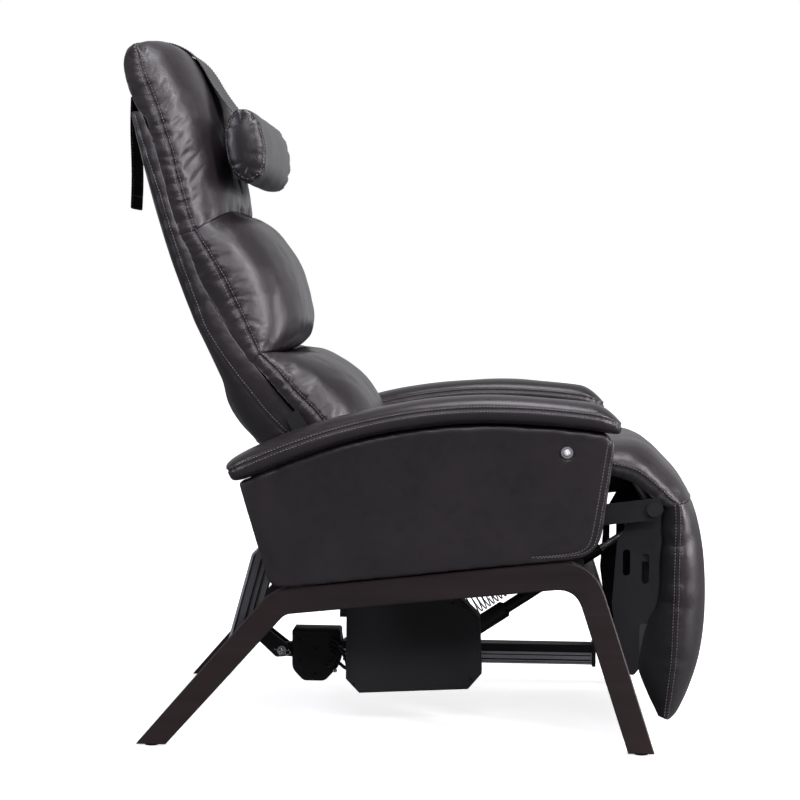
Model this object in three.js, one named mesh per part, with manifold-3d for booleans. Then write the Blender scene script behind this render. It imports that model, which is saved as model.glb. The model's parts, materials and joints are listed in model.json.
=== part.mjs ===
// Power zero gravity recliner: wooden side frames carry padded arms and a steel under-frame.
// The seat tilts on a cross shaft, the back reclines behind it, and the leg rest swings up in front.
// Millimetres. +Z is up, -Y is the way the sitter faces, -X is the sitter's right. The origin is on
// the floor, under the middle of the chair's overall box.
import * as THREE from 'three';
import { mergeVertices } from 'three/addons/utils/BufferGeometryUtils.js';
import Module from 'manifold-3d';

const wasm = await Module();
wasm.setup();

// ---- driving dimensions -------------------------------------------------------------------------
const GAP = 0.4;                  // space left between pieces that touch
const FRAME_INNER = 308;          // centre to the inner face of a wooden side frame
const FRAME_OUTER = 340;
const PANEL_INNER = 290;          // padded panel under each arm
const PANEL_OUTER = 345;
const PAD_INNER = 268;            // arm pad
const PAD_OUTER = 372;
const SEAT_HALF = 264;            // half widths
const BACK_HALF = 252;
const REST_HALF = 250;
const PILLOW_HALF = 215;
const STRAP_HALF = 122;           // at the pillow
const TAIL_HALF = 60;             // at the hanging end

const RAIL_SLOPE = 0.114;         // rise of the side frame's top rail towards the front
const railTop = (y) => 261 + (182 - y) * RAIL_SLOPE;

const SEAT_PIVOT = [-60, 351];    // y, z of the axes that run across the chair
const BACK_HINGE = [108, 332];
const LEG_HINGE = [-409, 391];
const LINK_SHAFT = [74, 254];
const LINK_PIN = [56, 322];
const CLEVIS = [223, 107];

const SEAT_TILT = 12;             // degrees from upright to the zero gravity position
const LEG_RAISE = 78;
const TILT_ARM = 193;             // seat pivot down to the drive carriage's pin
const LEG_ARM = 42;               // leg hinge down to the drive rod's pin
const ROD_ANGLE = 33.5;           // slope of the leg rest drive

const rad = THREE.MathUtils.degToRad;

// ---- materials ----------------------------------------------------------------------------------
const finish = (color, roughness, metalness = 0) =>
  () => new THREE.MeshStandardMaterial({ color, roughness, metalness });
const leather = finish(0x2b2728, 0.42);
const wood = finish(0x2a1a1b, 0.45);
const blackSteel = finish(0x1a1b1d, 0.5, 0.6);
const zincSteel = finish(0x9a9c9e, 0.4, 0.9);
const greyPanel = finish(0x8d8b90, 0.6, 0.2);
const aluminium = finish(0xb9bbbd, 0.35, 0.9);
const blackPlastic = finish(0x17181a, 0.55);
const stainless = finish(0xc8c9cb, 0.25, 1);
const strapWebbing = finish(0x1b191b, 0.6);
const boardPly = finish(0x6b543c, 0.8);

// ---- helpers ------------------------------------------------------------------------------------
const group = new THREE.Group();

function add(name, geometry, material) {
  const mesh = new THREE.Mesh(geometry, material());
  mesh.name = name;
  group.add(mesh);
}

// A closed outline through [y, z, radius] corners; a radius rounds its corner.
function outline(corners) {
  const shape = new THREE.Shape();
  corners.forEach(([y, z, radius = 0], i) => {
    const here = new THREE.Vector2(y, z);
    const before = new THREE.Vector2(...corners.at(i - 1)).sub(here);
    const after = new THREE.Vector2(...corners[(i + 1) % corners.length]).sub(here);
    const half = Math.abs(before.angle() - after.angle()) / 2;
    const reach = Math.min(radius / Math.abs(Math.tan(half)), before.length() / 2, after.length() / 2);
    const start = here.clone().add(before.setLength(reach));
    const end = here.clone().add(after.setLength(reach));
    if (i === 0) shape.moveTo(start.x, start.y);
    else shape.lineTo(start.x, start.y);
    if (reach > 0) shape.quadraticCurveTo(here.x, here.y, end.x, end.y);
  });
  shape.closePath();
  return shape;
}

// A smooth run of [y, z] points through the given ones.
const smoothRun = (points, steps) => new THREE.SplineCurve(points.map(([y, z]) => new THREE.Vector2(y, z)))
  .getPoints(steps).map((p) => [p.x, p.y]);

function roundHole(shape, [y, z], radius) {
  const path = new THREE.Path();
  path.absarc(y, z, radius, 0, 2 * Math.PI);
  shape.holes.push(path);
}

// A slot of the given length and width, its long way turned by angle.
function slotHole(shape, [y, z], length, width, angle) {
  const reach = (length - width) / 2;
  const dy = reach * Math.cos(angle);
  const dz = reach * Math.sin(angle);
  const path = new THREE.Path();
  path.absarc(y + dy, z + dz, width / 2, angle - Math.PI / 2, angle + Math.PI / 2);
  path.absarc(y - dy, z - dz, width / 2, angle + Math.PI / 2, angle + 1.5 * Math.PI);
  path.closePath();
  shape.holes.push(path);
}

// Extrudes a (y, z) outline across the chair from x0 to x1.
const ACROSS = new THREE.Matrix4().set(0, 0, 1, 0, 1, 0, 0, 0, 0, 1, 0, 0, 0, 0, 0, 1);
function across(shape, x0, x1, { bevel = 0, bevelSegments = 1, curve = 6 } = {}) {
  const depth = x1 - x0 - 2 * bevel;
  const options = { depth, curveSegments: curve, bevelEnabled: bevel > 0, bevelSegments };
  Object.assign(options, { bevelThickness: bevel, bevelSize: bevel, bevelOffset: -bevel });
  const geometry = new THREE.ExtrudeGeometry(shape, options);
  return geometry.translate(0, 0, x0 + bevel).applyMatrix4(ACROSS);
}

const box = (x0, x1, y0, y1, z0, z1) =>
  new THREE.BoxGeometry(x1 - x0, y1 - y0, z1 - z0).translate((x0 + x1) / 2, (y0 + y1) / 2, (z0 + z1) / 2);

// A solid turned about a line across the chair: profile points are [radius, x].
function turnedAcross(profile, [y, z], segments = 16) {
  const points = profile.map(([radius, x]) => new THREE.Vector2(radius, x));
  return new THREE.LatheGeometry(points, segments).rotateZ(-Math.PI / 2).translate(0, y, z);
}
const shaft = (x0, x1, radius, centre, segments = 16) =>
  turnedAcross([[0, x0], [radius, x0], [radius, x1], [0, x1]], centre, segments);

// A shaft with a head at each end, outside the plates it joins.
const headedShaft = (half, radius, headRadius, head, centre) => turnedAcross([
  [0, -half - head], [headRadius, -half - head], [headRadius, -half], [radius, -half],
  [radius, half], [headRadius, half], [headRadius, half + head], [0, half + head]], centre);

// A closed solid through rings of points, each ring a section, with flat ends. The flat function
// gives a point's two coordinates within its section.
function loft(rings, flat = (p) => new THREE.Vector2(p.y, p.z)) {
  const count = rings[0].length;
  const faces = [];
  for (let i = 0; i < count; i += 1) {
    const next = (i + 1) % count;
    for (let row = 0; row < rings.length - 1; row += 1) {
      const [a, b] = [row * count + i, row * count + next];
      faces.push(a, b, b + count, a, b + count, a + count);
    }
  }
  const last = (rings.length - 1) * count;
  for (const [base, ring, outward] of [[0, rings[0], false], [last, rings.at(-1), true]]) {
    const contour = ring.map(flat);
    const turn = THREE.ShapeUtils.isClockWise(contour);
    for (const [i, j, k] of THREE.ShapeUtils.triangulateShape(contour, [])) {
      if (turn === outward) faces.push(base + i, base + k, base + j);
      else faces.push(base + i, base + j, base + k);
    }
  }
  const geometry = new THREE.BufferGeometry().setFromPoints(rings.flat());
  geometry.setIndex(faces);
  geometry.computeVertexNormals();
  return geometry;
}

// A cushion across the chair: its front run is full in the middle and drawn in towards the rear
// run at both sides.
const CROWN_HALF = [[1, 0.62], [0.96, 0.84], [0.86, 0.95], [0.6, 1]];
const CROWN = [...CROWN_HALF, ...CROWN_HALF.map(([place, full]) => [-place, full]).reverse()];
function crowned(front, rear, half) {
  const middle = [...front, ...rear].reduce(([y, z], p) => [y + p[0], z + p[1]], [0, 0])
    .map((sum) => sum / (front.length + rear.length));
  return loft(CROWN.map(([place, full]) => {
    const drawn = front.map(([y, z], i) => {
      const [rearY, rearZ] = rear[Math.round((1 - i / (front.length - 1)) * (rear.length - 1))];
      const inner = [(rearY + middle[0]) / 2, (rearZ + middle[1]) / 2];
      const amount = i === 0 || i === front.length - 1 ? (1 + full) / 2 : full;
      return [THREE.MathUtils.lerp(inner[0], y, amount), THREE.MathUtils.lerp(inner[1], z, amount)];
    });
    return [...drawn, ...rear].map(([y, z]) => new THREE.Vector3(place * half, y, z));
  }));
}

function solid(geometry) {
  const plain = geometry.clone();
  plain.deleteAttribute('normal');
  plain.deleteAttribute('uv');
  const merged = mergeVertices(plain, 1e-3);
  const vertProperties = Float32Array.from(merged.attributes.position.array);
  const triVerts = Uint32Array.from(merged.index.array);
  return new wasm.Manifold(new wasm.Mesh({ numProp: 3, vertProperties, triVerts }));
}
function fromSolid(body) {
  const mesh = body.getMesh();
  const geometry = new THREE.BufferGeometry();
  geometry.setAttribute('position', new THREE.BufferAttribute(mesh.vertProperties, 3));
  geometry.setIndex(new THREE.BufferAttribute(mesh.triVerts, 1));
  geometry.computeVertexNormals();
  return geometry;
}
const join = (...pieces) => fromSolid(pieces.map(solid).reduce((sum, piece) => sum.add(piece)));

// Both hands of a piece that is drawn for the sitter's left (+X).
function pair(name, build, material) {
  add(`${name}_left`, build(1), material);
  add(`${name}_right`, build(-1), material);
}
const sided = (shape, side, inner, outer, options) =>
  across(shape, side > 0 ? inner : -outer, side > 0 ? outer : -inner, options);

// ---- wooden side frames and feet ----------------------------------------------------------------
const frameShape = outline([
  [428, 3], [208, 258, 70], [-310, 317, 78], [-413, 3],
  [-370, 3], [-282, 269, 42], [186, 219, 26], [379, 3]]);
pair('side_frame', (side) => sided(frameShape, side, FRAME_INNER, FRAME_OUTER, { bevel: 2, curve: 8 }), wood);

const FOOT_X = (FRAME_INNER + FRAME_OUTER) / 2;
for (const [place, y] of [['front', -391.5], ['rear', 403.5]]) {
  pair(`foot_glide_${place}`, (side) => {
    const glide = new THREE.CylinderGeometry(12, 11, 3 - GAP, 16).rotateX(Math.PI / 2);
    return glide.translate(side * FOOT_X, y, (3 - GAP) / 2);
  }, blackPlastic);
}

// ---- arms ---------------------------------------------------------------------------------------
const padMiddle = (y) => 553 - (y + 150) ** 2 / (y > -150 ? 1700 : 2500);
const PAD_HALF = 20;
const PAD_FRONT = -351;
const PAD_REAR = 278;
function armRun(from, to, steps, offset) {
  return Array.from({ length: steps + 1 }, (_, i) => {
    const y = THREE.MathUtils.lerp(from, to, i / steps);
    return [y, padMiddle(y) + offset];
  });
}
// Sections of the pad lie across it: full in the middle and drawn in at both ends.
function padRings(side) {
  const centre = side * (PAD_INNER + PAD_OUTER) / 2;
  const sections = 16;
  const around = 14;
  return Array.from({ length: sections + 1 }, (_, i) => {
    const end = Math.abs(2 * i / sections - 1);
    const y = THREE.MathUtils.lerp(PAD_FRONT, PAD_REAR, (1 + Math.sin(Math.PI * (i / sections - 0.5))) / 2);
    const full = (1 - end ** 7) ** 0.5;
    const halfWidth = (PAD_OUTER - PAD_INNER) / 2 * (0.45 + 0.55 * full);
    const halfHeight = PAD_HALF * (0.3 + 0.7 * full);
    return Array.from({ length: around }, (_, k) => {
      const turn = -2 * Math.PI * (k + 0.5) / around;
      const x = Math.sign(Math.cos(turn)) * Math.abs(Math.cos(turn)) ** 0.6;
      const z = Math.sign(Math.sin(turn)) * Math.abs(Math.sin(turn)) ** 0.6;
      return new THREE.Vector3(centre + halfWidth * x, y, padMiddle(y) + halfHeight * z);
    });
  });
}
pair('arm_pad', (side) => loft(padRings(side), (p) => new THREE.Vector2(p.x, p.z)), leather);

const BUTTON = [-265, 488];
const panelShape = outline([
  ...armRun(254, -326, 14, -PAD_HALF - 3 * GAP), [-342, 503, 14],
  [-318, railTop(-318) + 2, 55], [211, railTop(211) + 2, 28], [263, 433, 12]]);
const buttonPanel = panelShape.clone();
roundHole(buttonPanel, BUTTON, 8);
pair('arm_panel', (side) => sided(side < 0 ? buttonPanel : panelShape, side, PANEL_INNER, PANEL_OUTER,
  { curve: 8 }), leather);

// The push button sits in a bezel on the outside of the sitter's right arm.
const FACE = -PANEL_OUTER;
const BEZEL_PROUD = 3;
const BUTTON_TRAVEL = 1.5;
add('button_bezel', turnedAcross([
  [7.4, FACE + 22], [5.9, FACE + 22], [5.9, FACE - BEZEL_PROUD], [9.6, FACE - BEZEL_PROUD],
  [9.6, FACE - GAP], [7.4, FACE - GAP], [7.4, FACE + 22]], BUTTON, 24), stainless);
add('recline_button', turnedAcross([
  [0, FACE - BEZEL_PROUD - BUTTON_TRAVEL], [4.2, FACE - BEZEL_PROUD - BUTTON_TRAVEL],
  [5.5, FACE - BEZEL_PROUD - BUTTON_TRAVEL + 1], [5.5, FACE + 16], [0, FACE + 16]], BUTTON, 24), stainless);

// ---- steel under-frame, fixed to the wooden frames ------------------------------------------------
const PLATE_INNER = 276;
const PLATE_OUTER = 281;
const railBand = (y, low) => [y, railTop(y) - low];
const sideRail = outline([railBand(-296, 40), railBand(190, 40), railBand(190, 6), railBand(-296, 6)]);
roundHole(sideRail, LINK_SHAFT, 10.5);
const tower = outline([
  [-115, railTop(-115) - 30], [0, railTop(0) - 30], [-4, railTop(0) + 10, 14],
  [-38, 362, 12], [-50, 376, 12], [-70, 376, 12], [-82, 362, 12], [-112, railTop(-112) + 10, 14]]);
roundHole(tower, SEAT_PIVOT, 9.5);
pair('base_bracket', (side) => join(
  sided(sideRail, side, PLATE_INNER, FRAME_INNER - GAP),
  sided(tower, side, PLATE_INNER, PLATE_OUTER)), blackSteel);

const CROSS_END = FRAME_INNER - GAP;
add('front_cross_tube', box(-CROSS_END, CROSS_END, -324.5, -299.5, 237, 262), blackSteel);
add('rear_cross_tube', box(-CROSS_END, CROSS_END, 270, 296, 128, 154), blackSteel);
add('link_cross_shaft', shaft(-300, 300, 10, LINK_SHAFT), zincSteel);
const SKIRT_HALF = 270;
const skirt = outline([[244, 308], [248, 308], [289, 154.5], [285, 154.5]]);
add('rear_skirt', across(skirt, -SKIRT_HALF, SKIRT_HALF), greyPanel);

// ---- tilt drive: gearbox, rail and carriage --------------------------------------------------------
const EAR = 5;
const ear = outline([
  [269.6, 129, 2], [269.6, 153, 2], [255, 150, 8], [212, 117, 8], [212, 97, 8], [233, 95, 8]]);
roundHole(ear, CLEVIS, 6.4);
add('actuator_bracket', join(
  across(ear, -20, -20 + EAR), across(ear, 20 - EAR, 20), box(-20, 20, 264, 269.6, 129, 152.9)), blackSteel);
add('clevis_pin', headedShaft(20.4, 6, 8, 3, CLEVIS), zincSteel);

const gearCase = outline([
  [204, 145, 6], [204, 76, 26], [184, 55, 14], [146, 55, 16], [121, 82, 26], [116, 118, 6],
  [118, 128, 3], [121, 145, 5]]);
const lug = outline([[200, 120], [225, 118, 10], [234, 107, 10], [225, 96, 10], [200, 94]]);
roundHole(lug, CLEVIS, 6.4);
add('tilt_gearbox', join(across(gearCase, -26, 26, { bevel: 2 }), across(lug, -9, 9)), blackPlastic);
const motorProfile = [[0, 26.4], [22, 26.4], [22, 112], [18, 118], [0, 118]];
add('tilt_motor', turnedAcross(motorProfile, [162, 100]), blackSteel);

const RAIL_FRONT = -322;
const RAIL_REAR = 115;
add('drive_rail', box(-17, 17, RAIL_FRONT, RAIL_REAR, 91, 112), aluminium);
add('rail_channel', box(-19, 19, RAIL_FRONT, RAIL_REAR, 112 + GAP, 126), blackSteel);
add('rail_end_cap', box(-21, 21, RAIL_FRONT - 7, RAIL_FRONT - GAP, 88, 129), blackPlastic);

// The carriage's pin starts behind the seat pivot by half the tilt and ends as far in front of it.
const tiltHalf = rad(SEAT_TILT / 2);
const pinY = SEAT_PIVOT[0] + TILT_ARM * Math.sin(tiltHalf);
const pinZ = SEAT_PIVOT[1] - TILT_ARM * Math.cos(tiltHalf);
const saddle = outline([
  [pinY - 34, 128], [pinY - 34, 136, 4], [pinY - 12, pinZ + 4, 8], [pinY, pinZ + 12, 8],
  [pinY + 12, pinZ + 4, 8], [pinY + 34, 136, 4], [pinY + 34, 128]]);
add('drive_carriage', join(
  box(-28, 28, pinY - 34, pinY + 34, 127, 135),
  box(-28, -20, pinY - 34, pinY + 34, 100, 127.5), box(20, 28, pinY - 34, pinY + 34, 100, 127.5),
  across(saddle, -22, -12), across(saddle, 12, 22), shaft(-24, 24, 6, [pinY, pinZ])), blackPlastic);

// ---- control box, its lead and mains inlet ---------------------------------------------------------
const BOX_NEAR = -150;
const BOX_FAR = -98;
const boxShape = outline([
  [100, 228, 4], [100, 82], [77, 58], [-108, 68], [-131, 95], [-127, 191], [-88, 228],
  [52, 230], [60, 262, 9], [74, 271, 9], [88, 262, 9], [92, 228]]);
roundHole(boxShape, LINK_SHAFT, 10.5);
add('control_box', across(boxShape, BOX_NEAR, BOX_FAR, { bevel: 1.5 }), blackPlastic);
add('power_inlet', box(-138, -112, 100.4, 112, 186, 204), blackPlastic);

const leadRoute = new THREE.CatmullRomCurve3([
  [-31, 128, 92], [-40, 120, 90], [-58, 106, 84], [-82, 104, 100], [-88, 112, 120], [-100, 114, 128],
  [-112, 109, 124], [-114, 104, 120]].map((p) => new THREE.Vector3(...p)));
const leadSection = new THREE.Shape().absarc(0, 0, 3, 0, 2 * Math.PI);
add('motor_lead', new THREE.ExtrudeGeometry(leadSection,
  { extrudePath: leadRoute, steps: 22, curveSegments: 4 }), blackPlastic);

// ---- seat ------------------------------------------------------------------------------------------
const SEAT_RAIL_INNER = 262;
const SEAT_RAIL_OUTER = 270;
const SEAT_LINE = 62;             // seat rail's centre line above the wooden rail's top
const seatLine = (y, offset = 0) => [y, railTop(y) + SEAT_LINE + offset];
const seatRail = outline([
  [124, 330, 14], [112, 315, 12], seatLine(80, -17), seatLine(-330, -17), [-412, 374, 12],
  [-427, 388, 14], [-420, 408, 12], [-404, 408, 10], seatLine(-340, 17), seatLine(86, 17), [122, 346, 14]]);
roundHole(seatRail, SEAT_PIVOT, 9.5);
roundHole(seatRail, BACK_HINGE, 7.5);
roundHole(seatRail, LEG_HINGE, 8.5);
pair('seat_rail', (side) => sided(seatRail, side, SEAT_RAIL_INNER, SEAT_RAIL_OUTER), blackSteel);

add('seat_cross_tube', shaft(-261.6, 261.6, 11, seatLine(-300)), blackSteel);
add('seat_pivot_shaft', headedShaft(281.4, 9, 13, 6, SEAT_PIVOT), zincSteel);
add('back_hinge_shaft', headedShaft(270.4, 7, 11, 5, BACK_HINGE), zincSteel);
add('legrest_hinge_shaft', headedShaft(270.4, 8, 11.5, 6, LEG_HINGE), blackSteel);

const tiltSlope = Math.PI / 2 + tiltHalf;
const lever = outline([
  [-78, 350, 10], [-72, 366, 10], [-48, 366, 10], [-42, 350, 10], [pinY + 13, pinZ + 4, 6],
  [pinY + 12, pinZ - 12, 8], [pinY - 12, pinZ - 13, 8], [pinY - 15, pinZ + 4, 6]]);
roundHole(lever, SEAT_PIVOT, 9.5);
slotHole(lever, [pinY, pinZ], 17, 13, tiltSlope);
add('seat_lever', across(lever, -7, 7), blackSteel);

const boardRun = (offset) => [[-326, railTop(-326) + offset], [36, railTop(36) + offset]];
add('seat_board', across(outline([...boardRun(80), ...boardRun(91.4).reverse()]), -258, 258), boardPly);

const seatTop = (y) => 512 - (y + 330) * 0.172 - 7 * Math.sin(Math.PI * (y + 330) / 370);
const SEAT_FRONT = -330.5;
const seatTopRun = [38, -8, -54, -100, -146, -192, -238, -284, SEAT_FRONT].map((y) => [y, seatTop(y)]);
const seatShape = outline([
  [40, railTop(40) + 92, 10], ...seatTopRun, [SEAT_FRONT, railTop(SEAT_FRONT) + 92, 6]]);
add('seat_cushion', across(seatShape, -SEAT_HALF, SEAT_HALF, { curve: 4 }), leather);

// The padded bridge closes the gap between the seat and the leg rest.
const bridgeTop = smoothRun([
  [-331.5, 514], [-358, 515], [-387, 509], [-420, 486], [-441, 462], [-463, 434], [-481, 404]], 12);
const bridgeShape = outline([...bridgeTop, [-450, 404, 6], [-436, 432, 30], [-400, 462, 40], [-331.5, 468]]);
add('bridge_pad', across(bridgeShape, -REST_HALF, REST_HALF, { curve: 4 }), leather);

// ---- back ------------------------------------------------------------------------------------------
const spine = new THREE.CatmullRomCurve3([
  [70, 400], [118, 484], [172, 545], [222, 600], [258, 668], [318, 780], [350, 850],
  [374, 940], [408, 1058], [440, 1135]].map(([y, z]) => new THREE.Vector3(0, y, z)));
// A point beside the spine: t runs from 0 at the seat to 1 at the top, and forward is towards the sitter.
function beside(t, forward) {
  const point = spine.getPoint(t);
  const along = spine.getTangent(t);
  return [point.y - forward * along.z, point.z + forward * along.y];
}
function besideRun(from, to, steps, forward) {
  return Array.from({ length: steps + 1 }, (_, i) => {
    const t = THREE.MathUtils.lerp(from, to, i / steps);
    return beside(t, typeof forward === 'function' ? forward(i / steps) : forward);
  });
}
const HOOD = 0.867;               // the upper cushion wraps round the back from here up
const GUSSET = 24;                // depth of the cushions' sides behind the spine line
const rearOf = (from, to, steps) => besideRun(to, from, steps, -GUSSET);

// The three cushions are one roll above the other: each front run goes from its lower crease up.
const LOWER_CREASE = 0.42;
const UPPER_CREASE = 0.655;
const lowerFront = smoothRun([
  [42, 438], [44, 486], [58, 533], [82, 576], [119, 609], [160, 629], [196, 637]], 12);
const lowerRear = rearOf(0.03, LOWER_CREASE - 0.012, 6);
add('back_cushion_lower', crowned(lowerFront, lowerRear, BACK_HALF), leather);
const middleFront = smoothRun([
  [205, 642], [193, 660], [188, 690], [192, 722], [204, 764], [227, 808], [258, 844], [296, 868]], 14);
const middleRear = rearOf(LOWER_CREASE, UPPER_CREASE - 0.01, 5);
add('back_cushion_middle', crowned(middleFront, middleRear, BACK_HALF), leather);
const upperFront = smoothRun([
  [304, 872], [306, 905], [315, 950], [328, 1008], [346, 1068], [366, 1108], [388, 1138], [412, 1155],
  [436, 1157], [455, 1146], [465, 1122]], 20);
const upperRear = [[461, 1086], [451, 1053], [442, 1031], ...rearOf(UPPER_CREASE, HOOD, 4)];
add('back_cushion_upper', crowned(upperFront, upperRear, BACK_HALF), leather);

const layer = (from, to, front, rear, steps) => outline([
  ...besideRun(from, to, steps, front), ...besideRun(to, from, steps, rear)]);
const BOARD = 10;
add('back_board', across(layer(0.09, HOOD - 0.02, -GUSSET - 2, -GUSSET - 2 - BOARD, 12),
  -BACK_HALF + 3, BACK_HALF - 3), boardPly);
// The rear shell is fullest in the middle and ends in a loose flap behind the seat.
const shellRear = smoothRun([
  [455, 1018], [449, 985], [436, 920], [417, 859], [391, 775], [360, 692], [330, 622], [309, 566],
  [282, 517], [250, 480]], 16);
const shellFront = besideRun(0.2, HOOD - 0.012, 12, -GUSSET - BOARD - 4);
add('back_shell', crowned(shellRear, shellFront, BACK_HALF - 2), leather);

const ARM_INNER = 253.5;
const ARM_OUTER = 258.5;
const LINK_PIN_RADIUS = 6;
const backArm = outline([
  beside(0.23, -2), [96, 425, 20], [88, 350, 10], [56, 334, 8], [43, 322, 10], [56, 311, 8],
  [100, 316, 8], [122, 322, 12], [126, 342, 14], [134, 420, 20], beside(0.23, -26)]);
roundHole(backArm, BACK_HINGE, 7.5);
pair('back_arm', (side) => {
  const plate = sided(backArm, side, ARM_INNER, ARM_OUTER);
  const ends = [side * 240, side * (ARM_INNER + 1)].sort((a, b) => a - b);
  return join(plate, shaft(...ends, LINK_PIN_RADIUS, LINK_PIN, 12));
}, blackSteel);

const link = outline([
  [90, 240, 8], [58, 238, 8], [56, 262, 8], [43, 312, 8],
  [42, 336, 8], [69, 337, 8], [72, 316, 8], [90, 266, 8]]);
roundHole(link, LINK_SHAFT, 10.5);
roundHole(link, LINK_PIN, 8.2);
pair('recline_link', (side) => sided(link, side, 244, 250), blackSteel);

// ---- leg rest --------------------------------------------------------------------------------------
const restFront = smoothRun([
  [-481, 399], [-496, 345], [-504, 290], [-506, 230], [-503, 172], [-495, 129], [-479, 85],
  [-460, 54], [-448, 44], [-434, 46], [-421, 70], [-403, 99], [-391.5, 118]], 20);
const restShape = outline([
  ...restFront, [-391.5, 184, 6], [-425.5, 196, 6], [-425.5, 384, 8], [-434, 399, 8]]);
add('legrest_cushion', across(restShape, -REST_HALF, REST_HALF, { curve: 4 }), leather);
add('legrest_board', box(-230, 230, -425, -413, 204, 296), boardPly);

const restPlate = outline([
  [-424.6, 200, 4], [-424.6, 398, 14], [-408, 409, 12], [-386, 396, 14], [-352, 334, 20], [-345, 232, 20],
  [-360, 122, 10], [-382, 112, 8], [-391, 124, 4], [-391, 199, 4]]);
roundHole(restPlate, LEG_HINGE, 8.5);
slotHole(restPlate, [-368, 300], 44, 12, rad(90));
slotHole(restPlate, [-399, 290], 50, 12, rad(90));
pair('legrest_plate', (side) => sided(restPlate, side, 236, 241), blackSteel);

// The drive rod's pin hangs below the leg hinge; its arc's chord lies along the rod.
const rodDirection = [-Math.cos(rad(ROD_ANGLE)), Math.sin(rad(ROD_ANGLE))];
const pinLean = rad(LEG_RAISE / 2 - ROD_ANGLE);
const LEG_PIN = [LEG_HINGE[0] + LEG_ARM * Math.sin(pinLean), LEG_HINGE[1] - LEG_ARM * Math.cos(pinLean)];
const alongRod = (distance, below = 0) => [
  LEG_PIN[0] - distance * rodDirection[0] - below * rodDirection[1],
  LEG_PIN[1] - distance * rodDirection[1] + below * rodDirection[0]];
const DRIVE_X = -55;
const leverEar = outline([
  [-388, 322], [-412, 322], [LEG_PIN[0] - 10, LEG_PIN[1], 6], [LEG_PIN[0] - 4, LEG_PIN[1] + 11, 8],
  [LEG_PIN[0] + 8, LEG_PIN[1] + 9, 8], [LEG_PIN[0] + 12, LEG_PIN[1] - 4, 6]]);
add('legrest_crossbar', join(
  box(-235.6, 235.6, -412, -388, 302, 324),
  across(leverEar, DRIVE_X - 16, DRIVE_X - 10), across(leverEar, DRIVE_X + 10, DRIVE_X + 16),
  shaft(DRIVE_X - 17, DRIVE_X + 17, 5, LEG_PIN, 12)), blackSteel);

// ---- leg rest drive --------------------------------------------------------------------------------
const legTravel = 2 * LEG_ARM * Math.sin(rad(LEG_RAISE / 2));
const legSag = LEG_ARM * (1 - Math.cos(rad(LEG_RAISE / 2)));
// Turns a solid made along +Z at the origin to lie along the rod, its base that far from the pin.
function alongDrive(geometry, distance) {
  const [y, z] = alongRod(distance);
  return geometry.rotateX(rad(90 - ROD_ANGLE)).translate(DRIVE_X, y, z);
}
const turned = (profile, segments) =>
  new THREE.LatheGeometry(profile.map(([r, z]) => new THREE.Vector2(r, z)), segments).rotateX(Math.PI / 2);
const TUBE_REAR = 342;
const TUBE_LENGTH = 256;
const COLLAR = 58;
const tubeProfile = [
  [0, 0], [15, 0], [15, COLLAR], [10, COLLAR + 4], [10, TUBE_LENGTH], [6.6, TUBE_LENGTH], [6.6, 20], [0, 20]];
add('legrest_drive_tube', alongDrive(turned(tubeProfile, 16), TUBE_REAR), blackSteel);

const rodEndCentre = alongRod(0, legSag / 2);
const END_HALF = 11.2;
const ROD_SLOT = 12;              // wide enough for the pin's arc, which strays from the rod's line
const rodEndShape = outline([
  [...alongRod(-END_HALF, -END_HALF), 7], [...alongRod(END_HALF, -END_HALF), 7],
  [...alongRod(END_HALF, legSag + END_HALF), 7], [...alongRod(-END_HALF, legSag + END_HALF), 7]]);
const acrossRod = Math.atan2(-rodDirection[0], rodDirection[1]);
slotHole(rodEndShape, rodEndCentre, ROD_SLOT + legSag, ROD_SLOT, acrossRod);
const rodBar = alongDrive(turned([[0, 0], [6, 0], [6, 196], [0, 196]], 12), 206);
add('legrest_drive_rod', join(across(rodEndShape, DRIVE_X - 8, DRIVE_X + 8), rodBar), stainless);

const motorShape = outline([
  [-122, 104, 8], [-128, 134, 8], [-116, 164, 6], [-62, 160, 10],
  [-50, 100, 12], [-66, 84, 10], [-106, 84, 10]]);
const motorHanger = outline([
  [-100, 140], [-70, 140], [-44, 340, 8], [-46, 366, 12], [-74, 366, 12], [-80, 340, 8]]);
roundHole(motorHanger, SEAT_PIVOT, 9.5);
const driveMotor = solid(join(across(motorShape, -84, -32), across(motorHanger, -84, -78)));
const socketProfile = [[0, 0], [15.4, 0], [15.4, 40], [0, 40]];
const motorSocket = solid(alongDrive(turned(socketProfile, 16), TUBE_REAR + GAP));
add('legrest_motor', fromSolid(driveMotor.subtract(motorSocket)), blackPlastic);

// Return spring beside the drive tube.
const COIL_TURNS = 15;
const COIL_RADIUS = 16;
const COIL_LENGTH = 170;
class Coil extends THREE.Curve {
  getPoint(t) {
    const turn = 2 * Math.PI * COIL_TURNS * t;
    return new THREE.Vector3(COIL_RADIUS * Math.cos(turn), COIL_RADIUS * Math.sin(turn), COIL_LENGTH * t);
  }
}
const wire = new THREE.Shape().absarc(0, 0, 1.6, 0, 2 * Math.PI);
const coil = new THREE.ExtrudeGeometry(wire,
  { extrudePath: new Coil(), steps: COIL_TURNS * 9, curveSegments: 3 });
const [springY, springZ] = alongRod(348, -34);
add('legrest_spring', coil.rotateX(rad(90 - ROD_ANGLE)).translate(DRIVE_X, springY, springZ), stainless);

// ---- head pillow and its strap ---------------------------------------------------------------------
const PILLOW = [271, 981];
const PILLOW_LEAN = rad(-9);
const pillowRings = [
  [-1, 0.72], [-0.95, 0.95], [-0.8, 1], [0.8, 1], [0.95, 0.95], [1, 0.72],
].map(([place, full]) => {
  const ring = new THREE.EllipseCurve(...PILLOW, 35 * full, 63 * full, 0, 2 * Math.PI, false, PILLOW_LEAN);
  return ring.getPoints(20).slice(0, -1).map((p) => new THREE.Vector3(place * PILLOW_HALF, p.x, p.y));
});
add('head_pillow', loft(pillowRings), leather);

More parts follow.
